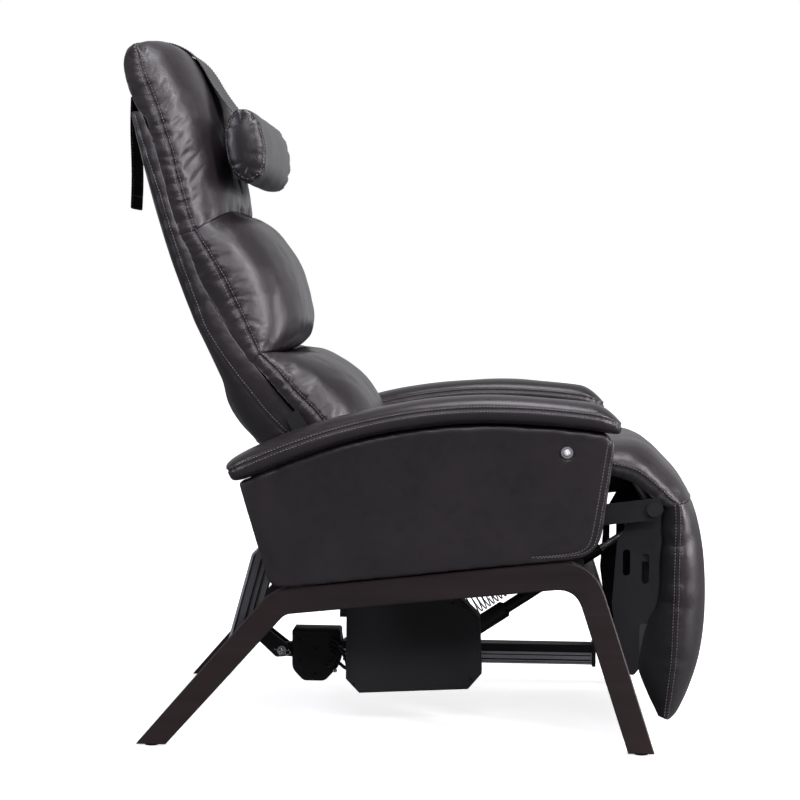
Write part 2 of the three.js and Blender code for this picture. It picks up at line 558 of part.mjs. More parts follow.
const STRAP = 2.2;
const strapRoute = smoothRun([
  [299, 1037], [333, 1073], [364, 1115], [388, 1145], [412, 1161], [436, 1163], [460, 1152], [474, 1126],
  [486, 1076]], 16);
const strapHalf = (share) => THREE.MathUtils.lerp(STRAP_HALF, TAIL_HALF, Math.min(1, share / 0.8));
const strapRings = strapRoute.map(([y, z], i) => {
  const before = strapRoute[Math.max(0, i - 1)];
  const after = strapRoute[Math.min(strapRoute.length - 1, i + 1)];
  const out = new THREE.Vector2(before[1] - after[1], after[0] - before[0]).setLength(STRAP);
  const half = strapHalf(i / (strapRoute.length - 1));
  return [[half, 0], [-half, 0], [-half, 1], [half, 1]].map(([x, lift]) =>
    new THREE.Vector3(x, y + lift * out.x, z + lift * out.y));
});
add('pillow_strap', loft(strapRings, (p) => new THREE.Vector2(p.x, p.y)), strapWebbing);
add('strap_tail', box(-TAIL_HALF, TAIL_HALF, 484, 489, 880, 1074), strapWebbing);

export default group;
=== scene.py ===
"""Looks of the power zero gravity recliner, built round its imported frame.

Metres in the frame's own axes: +Z up, -Y the way the sitter faces, -X the sitter's right. Runs of (y, z)
points are listed in millimetres, and through() turns them into metres.
"""

import json
import math

import bmesh
import bpy
import numpy as np
from mathutils import Matrix, Vector, noise
from mathutils.bvhtree import BVHTree
from mathutils.kdtree import KDTree


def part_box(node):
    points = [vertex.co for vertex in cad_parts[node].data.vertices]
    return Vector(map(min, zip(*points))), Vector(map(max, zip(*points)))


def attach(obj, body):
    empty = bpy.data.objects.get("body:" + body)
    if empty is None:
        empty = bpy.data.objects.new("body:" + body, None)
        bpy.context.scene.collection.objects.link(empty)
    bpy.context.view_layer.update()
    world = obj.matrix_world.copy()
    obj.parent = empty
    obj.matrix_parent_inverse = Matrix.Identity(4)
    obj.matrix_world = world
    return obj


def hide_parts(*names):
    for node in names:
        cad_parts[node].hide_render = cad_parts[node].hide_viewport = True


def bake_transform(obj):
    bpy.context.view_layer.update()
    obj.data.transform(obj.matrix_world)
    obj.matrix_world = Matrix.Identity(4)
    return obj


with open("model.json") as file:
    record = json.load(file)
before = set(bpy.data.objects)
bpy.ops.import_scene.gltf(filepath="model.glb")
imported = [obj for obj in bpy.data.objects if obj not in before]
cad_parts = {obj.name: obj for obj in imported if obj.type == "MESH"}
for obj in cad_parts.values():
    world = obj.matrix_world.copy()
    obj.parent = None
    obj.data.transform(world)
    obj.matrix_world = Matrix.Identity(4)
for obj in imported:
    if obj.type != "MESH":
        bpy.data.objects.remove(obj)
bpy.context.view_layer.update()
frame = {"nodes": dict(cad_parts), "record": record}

SCENE = bpy.context.scene
MM = 0.001


# ---- camera ---------------------------------------------------------------------------------------
CAMERA_AT = (-3.8462, -0.16865, 0.7519)
CAMERA_YAW = math.radians(2.803)
CAMERA_DIP = math.radians(2.994)
CAMERA_ROLL = math.radians(0.582)
FOCAL_PX = 2194.3
PICTURE_PX = 800
SENSOR = 36.0


def make_camera():
    data = bpy.data.cameras.new("camera")
    data.sensor_width = SENSOR
    data.lens = FOCAL_PX / PICTURE_PX * SENSOR
    data.clip_start, data.clip_end = 0.1, 60
    camera = bpy.data.objects.new("camera", data)
    level = math.cos(CAMERA_DIP)
    ahead = Vector((level * math.cos(CAMERA_YAW), level * math.sin(CAMERA_YAW), -math.sin(CAMERA_DIP)))
    right = ahead.cross(Vector((0, 0, 1))).normalized()
    up = right.cross(ahead)
    c, s = math.cos(CAMERA_ROLL), math.sin(CAMERA_ROLL)
    axes = Matrix((c * right + s * up, -s * right + c * up, -ahead)).transposed()
    camera.matrix_world = Matrix.Translation(CAMERA_AT) @ axes.to_4x4()
    SCENE.collection.objects.link(camera)
    SCENE.camera = camera


make_camera()


# ---- the motor's lead follows the route that its solid has ------------------------------------------
LEAD_ROUTE = [(-31, 128, 92), (-40, 120, 90), (-58, 106, 84), (-82, 104, 100), (-88, 112, 120),
              (-100, 114, 128), (-112, 109, 124), (-114, 104, 120)]
LEAD_DIAMETER = 6 * MM


def through(points, count):
    """A smooth run through points in millimetres, as count evenly spaced points in metres."""
    p = np.array(points, float) * MM
    p = np.vstack([2 * p[0] - p[1], p, 2 * p[-1] - p[-2]])
    t = np.linspace(0, 1, 40, endpoint=False)[:, None]
    dense = []
    for a, b, c, d in zip(p, p[1:], p[2:], p[3:]):
        dense.append(0.5 * (2 * b + (c - a) * t + (2 * a - 5 * b + 4 * c - d) * t ** 2
                            + (3 * b - 3 * c + d - a) * t ** 3))
    return even(np.vstack([*dense, p[-2:-1]]), count)


def even(points, count):
    """The polyline's points, evenly spaced along it."""
    points = np.asarray(points, float)
    gone = np.r_[0, np.cumsum(np.linalg.norm(np.diff(points, axis=0), axis=1))]
    at = np.linspace(0, gone[-1], count)
    return np.stack([np.interp(at, gone, points[:, k]) for k in range(points.shape[1])], axis=1)


def length_of(points):
    return float(np.linalg.norm(np.diff(np.asarray(points, float), axis=0), axis=1).sum())


# ---- node helpers ---------------------------------------------------------------------------------
class Nodes:
    """A short way to write a node tree."""

    def __init__(self, tree):
        self.tree = tree
        tree.nodes.clear()

    def add(self, kind, inputs=None, **settings):
        node = self.tree.nodes.new(kind)
        for key, value in settings.items():
            setattr(node, key, value)
        for key, value in (inputs or {}).items():
            self.feed(node.inputs[key], value)
        return node

    def feed(self, socket, value):
        if isinstance(value, bpy.types.NodeSocket):
            self.tree.links.new(value, socket)
        else:
            socket.default_value = value

    def place(self, scale=(1, 1, 1), turn=(0, 0, 0)):
        coords = self.add("ShaderNodeTexCoord").outputs["Object"]
        return self.add("ShaderNodeMapping", {"Vector": coords, "Scale": scale, "Rotation": turn}).outputs[0]

    def noise(self, vector, scale, detail=4.0, rough=0.55, distort=0.0):
        node = self.add("ShaderNodeTexNoise", {
            "Vector": vector, "Scale": scale, "Detail": detail, "Roughness": rough, "Distortion": distort})
        return node.outputs["Fac"]

    def ramp(self, value, stops):
        node = self.add("ShaderNodeValToRGB", {"Fac": value})
        elements = node.color_ramp.elements
        while len(elements) < len(stops):
            elements.new(0.5)
        for element, (place, colour) in zip(elements, stops):
            element.position = place
            element.color = rgba(*colour)
        return node.outputs["Color"]

    def span(self, value, low, high, to_low=0.0, to_high=1.0):
        return self.add("ShaderNodeMapRange", {
            "Value": value, "From Min": low, "From Max": high,
            "To Min": to_low, "To Max": to_high}).outputs[0]

    def math(self, operation, a, b=0.0):
        node = self.add("ShaderNodeMath", operation=operation)
        self.feed(node.inputs[0], a)
        self.feed(node.inputs[1], b)
        return node.outputs[0]

    def mix(self, factor, a, b):
        node = self.add("ShaderNodeMix", data_type="RGBA")
        self.feed(node.inputs[0], factor)
        self.feed(node.inputs[6], a)
        self.feed(node.inputs[7], b)
        return node.outputs[2]

    def bump(self, height, strength, distance, below=None):
        inputs = {"Height": height, "Strength": strength, "Distance": distance}
        if below is not None:
            inputs["Normal"] = below
        return self.add("ShaderNodeBump", inputs).outputs["Normal"]


def rgba(r, g, b):
    return (r, g, b, 1.0)


def brighter(colour, times):
    return rgba(*(times * c for c in colour[:3]))


MATERIALS = {}


def material(name, draw, **fixed):
    """Makes a Principled material; draw(nodes) returns the linked inputs and fixed holds the plain ones."""
    made = bpy.data.materials.new(name)
    made.use_nodes = True
    nodes = Nodes(made.node_tree)
    inputs = draw(nodes)
    shader = nodes.add("ShaderNodeBsdfPrincipled", {**fixed, **inputs})
    output = nodes.add("ShaderNodeOutputMaterial")
    made.node_tree.links.new(shader.outputs[0], output.inputs[0])
    MATERIALS[name] = made
    return made


def leather_look(dark, light, grain, rough):
    """Pebbled hide: grain is the pebbles' depth, and rough the least and most roughness."""
    def draw(n):
        place = n.place()
        broad = n.noise(place, 7.0, 3.0)
        mottle = n.noise(place, 60.0, 4.0, 0.6)
        cells = n.add("ShaderNodeTexVoronoi", {"Vector": place, "Scale": 720.0}, feature="DISTANCE_TO_EDGE")
        pebble = n.span(cells.outputs["Distance"], 0.0, 0.22)
        pores = n.noise(place, 1500.0, 2.0)
        worn = n.add("ShaderNodeNewGeometry").outputs["Pointiness"]
        edge = n.span(worn, 0.5, 0.58)
        tone = n.mix(n.span(broad, 0.35, 0.65), dark, light)
        tone = n.mix(n.span(mottle, 0.45, 0.75, 0.0, 0.35), tone, light)
        tone = n.mix(n.math("MULTIPLY", edge, 0.35), tone, brighter(light, 2.2))
        roughness = n.span(n.math("ADD", n.math("MULTIPLY", mottle, 0.5), n.math("MULTIPLY", pebble, 0.5)),
                           0.2, 0.8, rough[0], rough[1])
        fine = n.bump(n.math("ADD", pebble, n.math("MULTIPLY", pores, 0.4)), grain, 0.0004)
        soft = n.bump(n.noise(place, 38.0, 5.0, 0.6), 0.10, 0.004, fine)
        return {"Base Color": tone, "Roughness": roughness, "Normal": soft}
    return draw


def painted_look(tone, tone_dust, grain_scale, grain, rough):
    """Paint, plastic or webbing with a fine grain, a little dust and worn edges."""
    def draw(n):
        place = n.place()
        dust = n.noise(place, 18.0, 5.0, 0.65)
        peel = n.noise(place, grain_scale, 3.0, 0.6)
        worn = n.span(n.add("ShaderNodeNewGeometry").outputs["Pointiness"], 0.52, 0.62, 0.0, 0.5)
        colour = n.mix(n.span(dust, 0.4, 0.75, 0.0, 0.6), tone, tone_dust)
        colour = n.mix(worn, colour, brighter(tone_dust, 3.0))
        return {"Base Color": colour,
                "Roughness": n.span(n.math("ADD", dust, peel), 0.6, 1.4, rough[0], rough[1]),
                "Normal": n.bump(peel, grain, 0.0005)}
    return draw


# name: dark, light, grain, roughness range, and the shader's plain inputs
for name, *look, plain in (
        ("leather", rgba(0.0120, 0.0098, 0.0112), rgba(0.0185, 0.0150, 0.0172), 0.16, (0.27, 0.41),
         {"Specular IOR Level": 0.5, "Coat Weight": 0.12, "Coat Roughness": 0.22}),
        # a darker copy of the leather: painted shade for the flanks behind the seams
        ("lining", rgba(0.0036, 0.0034, 0.0038), rgba(0.0062, 0.0058, 0.0064), 0.16, (0.34, 0.48),
         {"Specular IOR Level": 0.32}),
        ("strap", rgba(0.008, 0.0075, 0.0085), rgba(0.014, 0.013, 0.0145), 0.08, (0.34, 0.44),
         {"Specular IOR Level": 0.6})):
    material(name, leather_look(*look), **plain)

# name: tone, dusty tone, grain scale, grain depth, roughness range, specular level
for name, *look, specular in (
        ("webbing", rgba(0.006, 0.006, 0.0065), rgba(0.009, 0.009, 0.010), 1100, 0.5, (0.85, 0.95), 0.08),
        ("black_steel", rgba(0.005, 0.0051, 0.0056), rgba(0.009, 0.009, 0.01), 900, 0.25, (0.38, 0.55), 0.28),
        ("black_plastic", rgba(0.0068, 0.0072, 0.008), rgba(0.011, 0.0115, 0.0125), 1400, 0.3, (0.46, 0.6),
         0.4),
        ("grey_panel", rgba(0.115, 0.118, 0.135), rgba(0.17, 0.172, 0.19), 700, 0.15, (0.4, 0.55), 0.5),
        ("black_cable", rgba(0.010, 0.010, 0.011), rgba(0.018, 0.018, 0.020), 1600, 0.1, (0.35, 0.45), 0.5)):
    material(name, painted_look(*look), **{"Specular IOR Level": specular})


def thread_look(n):
    place = n.place()
    twist = n.add("ShaderNodeTexWave", {"Vector": place, "Scale": 420.0, "Distortion": 1.5}).outputs["Fac"]
    tone = n.mix(twist, rgba(0.075, 0.068, 0.072), rgba(0.20, 0.185, 0.19))
    return {"Base Color": tone, "Normal": n.bump(twist, 0.4, 0.0003)}


material("thread", thread_look, Roughness=0.5)


def wood_look(n):
    """Stained wood: each member's grain runs along it, so the coordinates turn at the mitred corners."""
    coords = n.add("ShaderNodeTexCoord").outputs["Object"]
    along_y = n.add("ShaderNodeSeparateXYZ", {"Vector": coords}).outputs["Y"]

    def grain(turn):
        placed = n.add("ShaderNodeMapping", {
            "Vector": coords, "Rotation": (math.radians(turn), 0, 0), "Scale": (55, 3.2, 55)}).outputs[0]
        return n.noise(placed, 1.0, 8.0, 0.62, 0.35), n.noise(placed, 4.0, 3.0, 0.7)

    rail, rail_pores = grain(6.5)
    front, front_pores = grain(-72)
    rear, rear_pores = grain(49)
    in_front = n.span(along_y, -0.305, -0.297, 1.0, 0.0)
    behind = n.span(along_y, 0.196, 0.204)

    def choose(a, b, c):
        return n.mix(behind, n.mix(in_front, a, b), c)

    streak = choose(rail, front, rear)
    pores = choose(rail_pores, front_pores, rear_pores)
    tone = n.ramp(streak, [(0.28, (0.0040, 0.0026, 0.0028)), (0.5, (0.0070, 0.0041, 0.0045)),
                           (0.72, (0.0130, 0.0070, 0.0074))])
    tone = n.mix(n.span(pores, 0.62, 0.72, 0.0, 0.6), tone, rgba(0.0035, 0.0022, 0.0024))
    worn = n.span(n.add("ShaderNodeNewGeometry").outputs["Pointiness"], 0.51, 0.6, 0.0, 0.6)
    tone = n.mix(worn, tone, rgba(0.036, 0.022, 0.021))
    return {
        "Base Color": tone,
        "Roughness": n.span(streak, 0.3, 0.7, 0.36, 0.5),
        "Normal": n.bump(n.math("SUBTRACT", streak, n.math("MULTIPLY", pores, 0.5)), 0.22, 0.0005)}


material("wood", wood_look, **{"Specular IOR Level": 0.38, "Coat Weight": 0.08, "Coat Roughness": 0.25})


def metal_look(dark, light, stretch, rough):
    """Bare metal: stretch is the scale of its brushed lines along each axis."""
    def draw(n):
        lines = n.noise(n.place(stretch), 1.0, 6.0, 0.7)
        smear = n.noise(n.place(), 30.0, 4.0, 0.6)
        return {"Base Color": n.mix(n.math("MULTIPLY", n.math("ADD", lines, smear), 0.5), dark, light),
                "Roughness": n.span(smear, 0.3, 0.7, rough[0], rough[1]),
                "Normal": n.bump(lines, 0.12, 0.0002)}
    return draw


# name: dark, light, stretch, roughness range, metallic
for name, *look, metallic in (
        ("aluminium", rgba(0.55, 0.56, 0.58), rgba(0.82, 0.83, 0.85), (900, 6, 900), (0.30, 0.44), 0.2),
        ("stainless", rgba(0.62, 0.62, 0.63), rgba(0.86, 0.86, 0.87), (500, 500, 500), (0.18, 0.30), 0.85),
        ("zinc_steel", rgba(0.34, 0.35, 0.36), rgba(0.62, 0.63, 0.64), (300, 300, 300), (0.25, 0.42), 0.95),
        ("button_metal", rgba(0.75, 0.75, 0.76), rgba(0.92, 0.92, 0.93), (400, 400, 400), (0.16, 0.26),
         0.55)):
    material(name, metal_look(*look), Metallic=metallic)


def board_look(n):
    ply = n.noise(n.place((30, 4, 30)), 1.0, 7.0, 0.6)
    return {"Base Color": n.ramp(ply, [(0.3, (0.006, 0.0055, 0.0055)), (0.7, (0.013, 0.0115, 0.011))]),
            "Roughness": n.span(ply, 0.3, 0.7, 0.6, 0.8), "Normal": n.bump(ply, 0.2, 0.0005)}


material("board", board_look)


# ---- stage and light ------------------------------------------------------------------------------
FLOOR_HALF = 14
FLOOR_GAP = 0.5 * MM


def floor_look(n):
    """Pale where it is looked at, and greyer as a bounce light, so that black parts stay black."""
    seen = n.add("ShaderNodeLightPath").outputs["Is Camera Ray"]
    pale = n.mix(n.span(n.noise(n.place(), 3.0), 0.3, 0.7), rgba(0.86, 0.86, 0.87), rgba(0.89, 0.89, 0.90))
    away = n.add("ShaderNodeVectorMath", {0: n.place()}, operation="LENGTH").outputs["Value"]
    return {"Base Color": n.mix(seen, rgba(0.16, 0.16, 0.165), pale),
            "Emission Strength": n.math("MULTIPLY", seen, n.span(away, 0.8, 3.0, 0.76, 1.0))}


def make_stage():
    bm = bmesh.new()
    bmesh.ops.create_grid(bm, x_segments=2, y_segments=2, size=FLOOR_HALF)
    mesh = bpy.data.meshes.new("floor")
    bm.to_mesh(mesh)
    bm.free()
    floor = bpy.data.objects.new("floor", mesh)
    SCENE.collection.objects.link(floor)
    floor.location = (0, 0, -FLOOR_GAP)
    mesh.materials.append(material("floor", floor_look, Roughness=0.9, **{"Emission Color": rgba(1, 1, 1)}))


def make_world():
    """Pale all round: brightest behind the chair, dimmer on the side that its arm panel faces."""
    world = bpy.data.worlds.new("world")
    SCENE.world = world
    world.use_nodes = True
    n = Nodes(world.node_tree)
    towards = n.add("ShaderNodeSeparateXYZ", {"Vector": n.add("ShaderNodeTexCoord").outputs["Generated"]})
    side = n.span(towards.outputs["X"], -0.35, 0.75)
    above = n.span(towards.outputs["Z"], 0.0, 0.9)
    colour = n.mix(side, rgba(0.035, 0.034, 0.038), rgba(0.55, 0.55, 0.57))
    colour = n.mix(n.math("MULTIPLY", above, 0.5), colour, rgba(0.21, 0.20, 0.23))
    seen = n.add("ShaderNodeLightPath").outputs["Is Camera Ray"]
    background = n.add("ShaderNodeBackground",
                       {"Color": n.mix(seen, colour, rgba(1.0, 1.0, 1.0)), "Strength": 1.0})
    output = n.add("ShaderNodeOutputWorld")
    world.node_tree.links.new(background.outputs[0], output.inputs[0])


LAMP_TARGET = Vector((0, 0, 0.6))


def softbox(name, at, width, height, power, colour):
    data = bpy.data.lights.new(name, "AREA")
    data.shape = "RECTANGLE"
    data.size, data.size_y = width, height
    data.energy = power
    data.color = colour
    lamp = bpy.data.objects.new(name, data)
    lamp.location = at
    lamp.rotation_euler = (LAMP_TARGET - Vector(at)).to_track_quat("-Z", "Y").to_euler()
    SCENE.collection.objects.link(lamp)


make_stage()
make_world()
softbox("key", (-2.4, -2.9, 2.3), 0.55, 2.2, 104, (1.0, 0.95, 1.0))
softbox("side", (-4.0, -0.5, 2.6), 2.4, 0.8, 58, (0.97, 0.93, 1.0))
softbox("overhead", (-0.6, -0.4, 3.0), 1.0, 2.0, 58, (0.97, 0.96, 1.0))
softbox("front", (0.4, -3.6, 1.1), 1.0, 2.0, 60, (1.0, 0.95, 0.98))
softbox("rear", (-2.2, 2.9, 1.7), 0.5, 2.0, 45, (0.90, 0.92, 1.0))
SCENE.view_settings.view_transform = "Standard"


# ---- curves and meshes ----------------------------------------------------------------------------
def new_object(name, verts, faces, look, merge=1e-5, tidy_normals=True):
    """A smooth mesh object: points closer than merge become one, and tidy_normals turns faces outwards."""
    bm = bmesh.new()
    made = [bm.verts.new(v) for v in verts]
    for face in faces:
        bm.faces.new([made[i] for i in face])
    if merge:
        bmesh.ops.remove_doubles(bm, verts=bm.verts, dist=merge)
    if tidy_normals:
        bmesh.ops.recalc_face_normals(bm, faces=bm.faces)
    mesh = bpy.data.meshes.new(name)
    bm.to_mesh(mesh)
    bm.free()
    mesh.shade_smooth()
    obj = bpy.data.objects.new(name, mesh)
    SCENE.collection.objects.link(obj)
    mesh.materials.append(MATERIALS[look])
    return obj


def from_patches(name, patches, look):
    """One closed skin from rectangular grids of points whose shared edges match."""
    verts, faces = [], []
    for patch in patches:
        patch = np.asarray(patch, float)
        rows, columns = patch.shape[:2]
        base = len(verts)
        verts.extend(map(tuple, patch.reshape(-1, 3)))
        for i in range(rows - 1):
            for j in range(columns - 1):
                a = base + i * columns + j
                faces.append((a, a + 1, a + 1 + columns, a + columns))
    return new_object(name, verts, faces, look)


def apply_modifiers(obj):
    graph = bpy.context.evaluated_depsgraph_get()
    mesh = bpy.data.meshes.new_from_object(obj.evaluated_get(graph))
    old = obj.data
    obj.modifiers.clear()
    obj.data = mesh
    mesh.name = old.name
    bpy.data.meshes.remove(old)


def coordinates(obj):
    co = np.empty(len(obj.data.vertices) * 3)
    obj.data.vertices.foreach_get("co", co)
    return co.reshape(-1, 3)


def normals(obj):
    no = np.empty(len(obj.data.vertices) * 3)
    obj.data.vertices.foreach_get("normal", no)
    return no.reshape(-1, 3)


def set_coordinates(obj, co):
    obj.data.vertices.foreach_set("co", np.asarray(co, float).ravel())
    obj.data.update()


def surface_tree(obj):
    return BVHTree.FromPolygons([v.co for v in obj.data.vertices], [p.vertices for p in obj.data.polygons])


def to_seam(points, seam):
    """Each point's distance from a seam, and how far along the seam its nearest point lies."""
    dense = even(seam, max(8, int(length_of(seam) / 0.0015)))
    tree = KDTree(len(dense))
    for i, p in enumerate(dense):
        tree.insert(p, i)
    tree.balance()
    step = length_of(seam) / (len(dense) - 1)
    found = [tree.find(p) for p in points]
    return np.array([f[2] for f in found]), np.array([f[1] for f in found]) * step


def gather(obj, seam, folds=(), groove=0.0, groove_width=3.0, seed=1, only=None):
    """Sinks a seam into the surface and presses in the short creases that run away from it.

    Its sizes are in millimetres, and folds holds (pitch, depth, reach) for each set of creases.
    """
    draw = np.random.default_rng(seed)
    co, no = coordinates(obj), normals(obj)
    near, along = to_seam(co, seam)
    groove_width = groove_width * MM
    lift = -groove * MM * np.exp(-((near / groove_width) ** 2))
    total = length_of(seam)
    for pitch, depth, reach in np.reshape(folds, (-1, 3)) * MM:
        close = np.where(near < 1.7 * reach)[0]
        places = np.cumsum(draw.uniform(0.5, 1.5, int(1.3 * total / pitch))) * pitch
        for place in places[places < total]:
            size, length = draw.uniform(0.35, 1.0), reach * draw.uniform(0.6, 1.6)
            aside = along[close] - place - draw.uniform(-0.5, 0.5) * near[close]
            width = 0.26 * pitch * (1 + 0.6 * near[close] / reach)
            fade = np.clip(1 - near[close] / length, 0, 1) ** 1.3
            fade *= np.clip(near[close] / groove_width, 0.25, 1)
            crease = 1.5 * np.exp(-((aside / width) ** 2)) - 0.7 * np.exp(-((aside / (2.1 * width)) ** 2))
            lift[close] -= depth * size * fade * crease
    if only is not None:
        lift = lift * only(co)
    set_coordinates(obj, co + no * lift[:, None])


def wander(obj, height, scale, seed, stretch=(1, 1, 1), only=None):
    """Broad soft unevenness of stuffed leather."""
    co, no = coordinates(obj), normals(obj)
    s = np.array(stretch, float)
    lift = np.array([noise.noise(Vector(p * s / scale) + Vector((seed, seed * 2.7, 0))) for p in co]) * height
    if only is not None:
        lift = lift * only(co)
    set_coordinates(obj, co + no * lift[:, None])


def ring_points(centre, side, other, radius, sides):
    """A circle of points about centre, in the plane of side and other."""
    angles = [2 * math.pi * k / sides for k in range(sides)]
    return [centre + (math.cos(a) * side + math.sin(a) * other) * radius for a in angles]


def barrel_faces(rings, sides, base=0):
    """Faces of a closed skin over rings of points: quads between the rings and a cap at each end."""
    faces = []
    for ring in range(rings - 1):
        for k in range(sides):
            a, b = base + ring * sides + k, base + ring * sides + (k + 1) % sides
            faces.append((a, b, b + sides, a + sides))
    last = base + (rings - 1) * sides
    return [*faces, [base + k for k in reversed(range(sides))], [last + k for k in range(sides)]]


STITCH_PITCH, STITCH_LONG, STITCH_THICK = 5.2 * MM, 3.7 * MM, 0.75 * MM
STITCH_SIDES = 6
# (place along the stitch as a share of its length, fatness)
STITCH_SHAPE = ((-0.5, 0.25), (-0.36, 0.85), (0, 1.0), (0.36, 0.85), (0.5, 0.25))


def stitches(name, body, skin, rows):
    """Lines of thread laid on a skin: rows is a list of (seam points, step aside).

    body is None for a piece that is left without a body.
    """
    tree = surface_tree(skin)
    verts, faces = [], []
    for seam, shift in rows:
        count = int(length_of(seam) / STITCH_PITCH)
        line = even(seam, count + 1)
        for start, end in zip(map(Vector, line), map(Vector, line[1:])):
            place, normal, _, _ = tree.find_nearest((start + end) / 2 + Vector(shift))
            if place is None:
                continue
            along = (end - start).normalized()
            along = (along - along.dot(normal) * normal).normalized()
            aside = normal.cross(along)
            faces += barrel_faces(len(STITCH_SHAPE), STITCH_SIDES, len(verts))
            for share, fat in STITCH_SHAPE:
                sink = (-0.25 if abs(share) > 0.45 else 0.35) * STITCH_THICK
                centre = place + along * share * STITCH_LONG + normal * sink
                verts += ring_points(centre, aside, normal, STITCH_THICK * fat, STITCH_SIDES)
    obj = new_object(name, verts, faces, "thread", merge=0, tidy_normals=False)
    if body:
        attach(obj, body)
    return obj


def tube(points, radius, sides=8):
    """Vertices and faces of a round tube along points."""
    points = [Vector(p) for p in points]
    verts = []
    side = (points[1] - points[0]).normalized().orthogonal()
    for i, p in enumerate(points):
        ahead = (points[min(i + 1, len(points) - 1)] - points[max(i - 1, 0)]).normalized()
        side = (side - side.dot(ahead) * ahead).normalized()
        verts += ring_points(p, side, ahead.cross(side), radius, sides)
    return verts, barrel_faces(len(points), sides)


def tube_object(name, points, radius, look, sides):
    return new_object(name, *tube(points, radius, sides), look, merge=0)


def make_lead():
    route = through(LEAD_ROUTE, 36)
    lead = tube_object("motor_lead_cable", route, LEAD_DIAMETER / 2, "black_cable", sides=12)
    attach(lead, "base")
    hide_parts("motor_lead")


make_lead()


# ---- stuffed panels -------------------------------------------------------------------------------
FINE, COARSE = 2.2 * MM, 9 * MM  # the mesh's spacing beside a side seam, and the most that it grows to


def fullness(q, power=5.0, root=0.6):
    """How full a panel is at a share q of its half width: 1 in its middle, and 0 at its side seams."""
    return (1 - np.abs(q) ** power) ** root


def across_places(half, depth, **shape):
    """Places across a cushion, closest together beside its side seams, as (shares, fullness)."""
    q = np.sin(np.linspace(0, math.pi / 2, 900))
    gone = np.r_[0, np.cumsum(np.hypot(np.diff(q) * half, np.diff(fullness(q, **shape)) * depth))]
    at, step = [gone[-1]], FINE
    while at[-1] > 0:
        at.append(at[-1] - step)
        step = min(COARSE, step * 1.12)
    at = at[:-1] if at[-2] > 0.4 * COARSE else at[:-2]
    half_q = np.interp([*at, 0.0], gone, q)
    q = np.r_[half_q, -half_q[-2::-1]][::-1]
    return q, fullness(q, **shape)


def at_side(run, x):
    """A (y, z) run as points at that x."""
    return np.column_stack([np.full(len(run), x), run])


def over_crown(front, seam, half, reach, count, **shape):
    """A line across a panel over its crown, from one point of its front run and one of its seam."""
    q = np.linspace(-reach, reach, count)
    return np.column_stack([q * half, seam + (front - seam) * fullness(q, **shape)[:, None]])


def stuffed(name, front, seam, rear, half, bulge, rear_half=None, rear_crown=0.0, steps=5, **shape):
    """A crowned panel between side seams, with a gusset behind each seam and a flat rear.

    front, seam and rear are (y, z) runs with the same number of points, and shape is passed on to fullness.
    """
    rear_half = rear_half or half
    depth = float(np.linalg.norm(front - seam, axis=1).mean())
    q, g = across_places(half, depth, **shape)
    count = len(front)
    top = np.empty((count, len(q), 3))
    back = np.empty_like(top)
    away = rear - seam
    away = away / np.linalg.norm(away, axis=1)[:, None]
    for j, (place, full) in enumerate(zip(q, g)):
        top[:, j] = at_side(seam + (front - seam) * full, place * half)
        back[:, j] = at_side(rear + away * rear_crown * (1 - abs(place) ** 4), place * rear_half)
    patches = [top, back]
    k = np.linspace(0, 1, steps + 1)[None, :, None]
    for row in (0, -1):
        patches.append(top[row][:, None, :] * (1 - k) + back[row][:, None, :] * k)
    ends_in = np.sin(np.pi * np.linspace(0, 1, count)) ** 0.3
    for column, side in ((0, -1), (-1, 1)):
        flank = top[:, column][:, None, :] * (1 - k) + back[:, column][:, None, :] * k
        flank[:, :, 0] += side * np.sin(np.pi * k[0, :, 0])[None, :] * ends_in[:, None] * bulge
        patches.append(flank)
    return from_patches(name, patches, "leather")


HOLD_STEPS = ((3 * MM, 1.0), (7 * MM, 0.6), (12 * MM, 0.3))  # (how far ahead of the seam, how firmly held)


def held_behind_seam(co, seam, rear, steps=HOLD_STEPS):
    """Weights that hold the gusset and the rear of a cushion and free its front panel."""
    seam_line, rear_line = even(seam, 200), even(rear, 200)
    yz = co[:, 1:]
    gap = np.linalg.norm(yz[:, None, :] - seam_line[None, :, :], axis=2)
    nearest = gap.argmin(axis=1)
    out = seam_line[nearest] - rear_line[nearest]
    ahead = ((yz - seam_line[nearest]) * out).sum(axis=1) / np.linalg.norm(out, axis=1)
    weights = np.zeros(len(co))
    for reach, weight in reversed(steps):
        weights[ahead < reach] = weight
    return weights


CLOTH_FRAMES = 10
CLOTH = {
    "quality": 4, "mass": 0.35, "tension_stiffness": 15.0, "compression_stiffness": 15.0,
    "shear_stiffness": 7.5, "bending_stiffness": 4.0, "tension_damping": 12, "compression_damping": 12,
    "air_damping": 4,
    "use_pressure": True, "vertex_group_mass": "held", "pin_stiffness": 1.0}


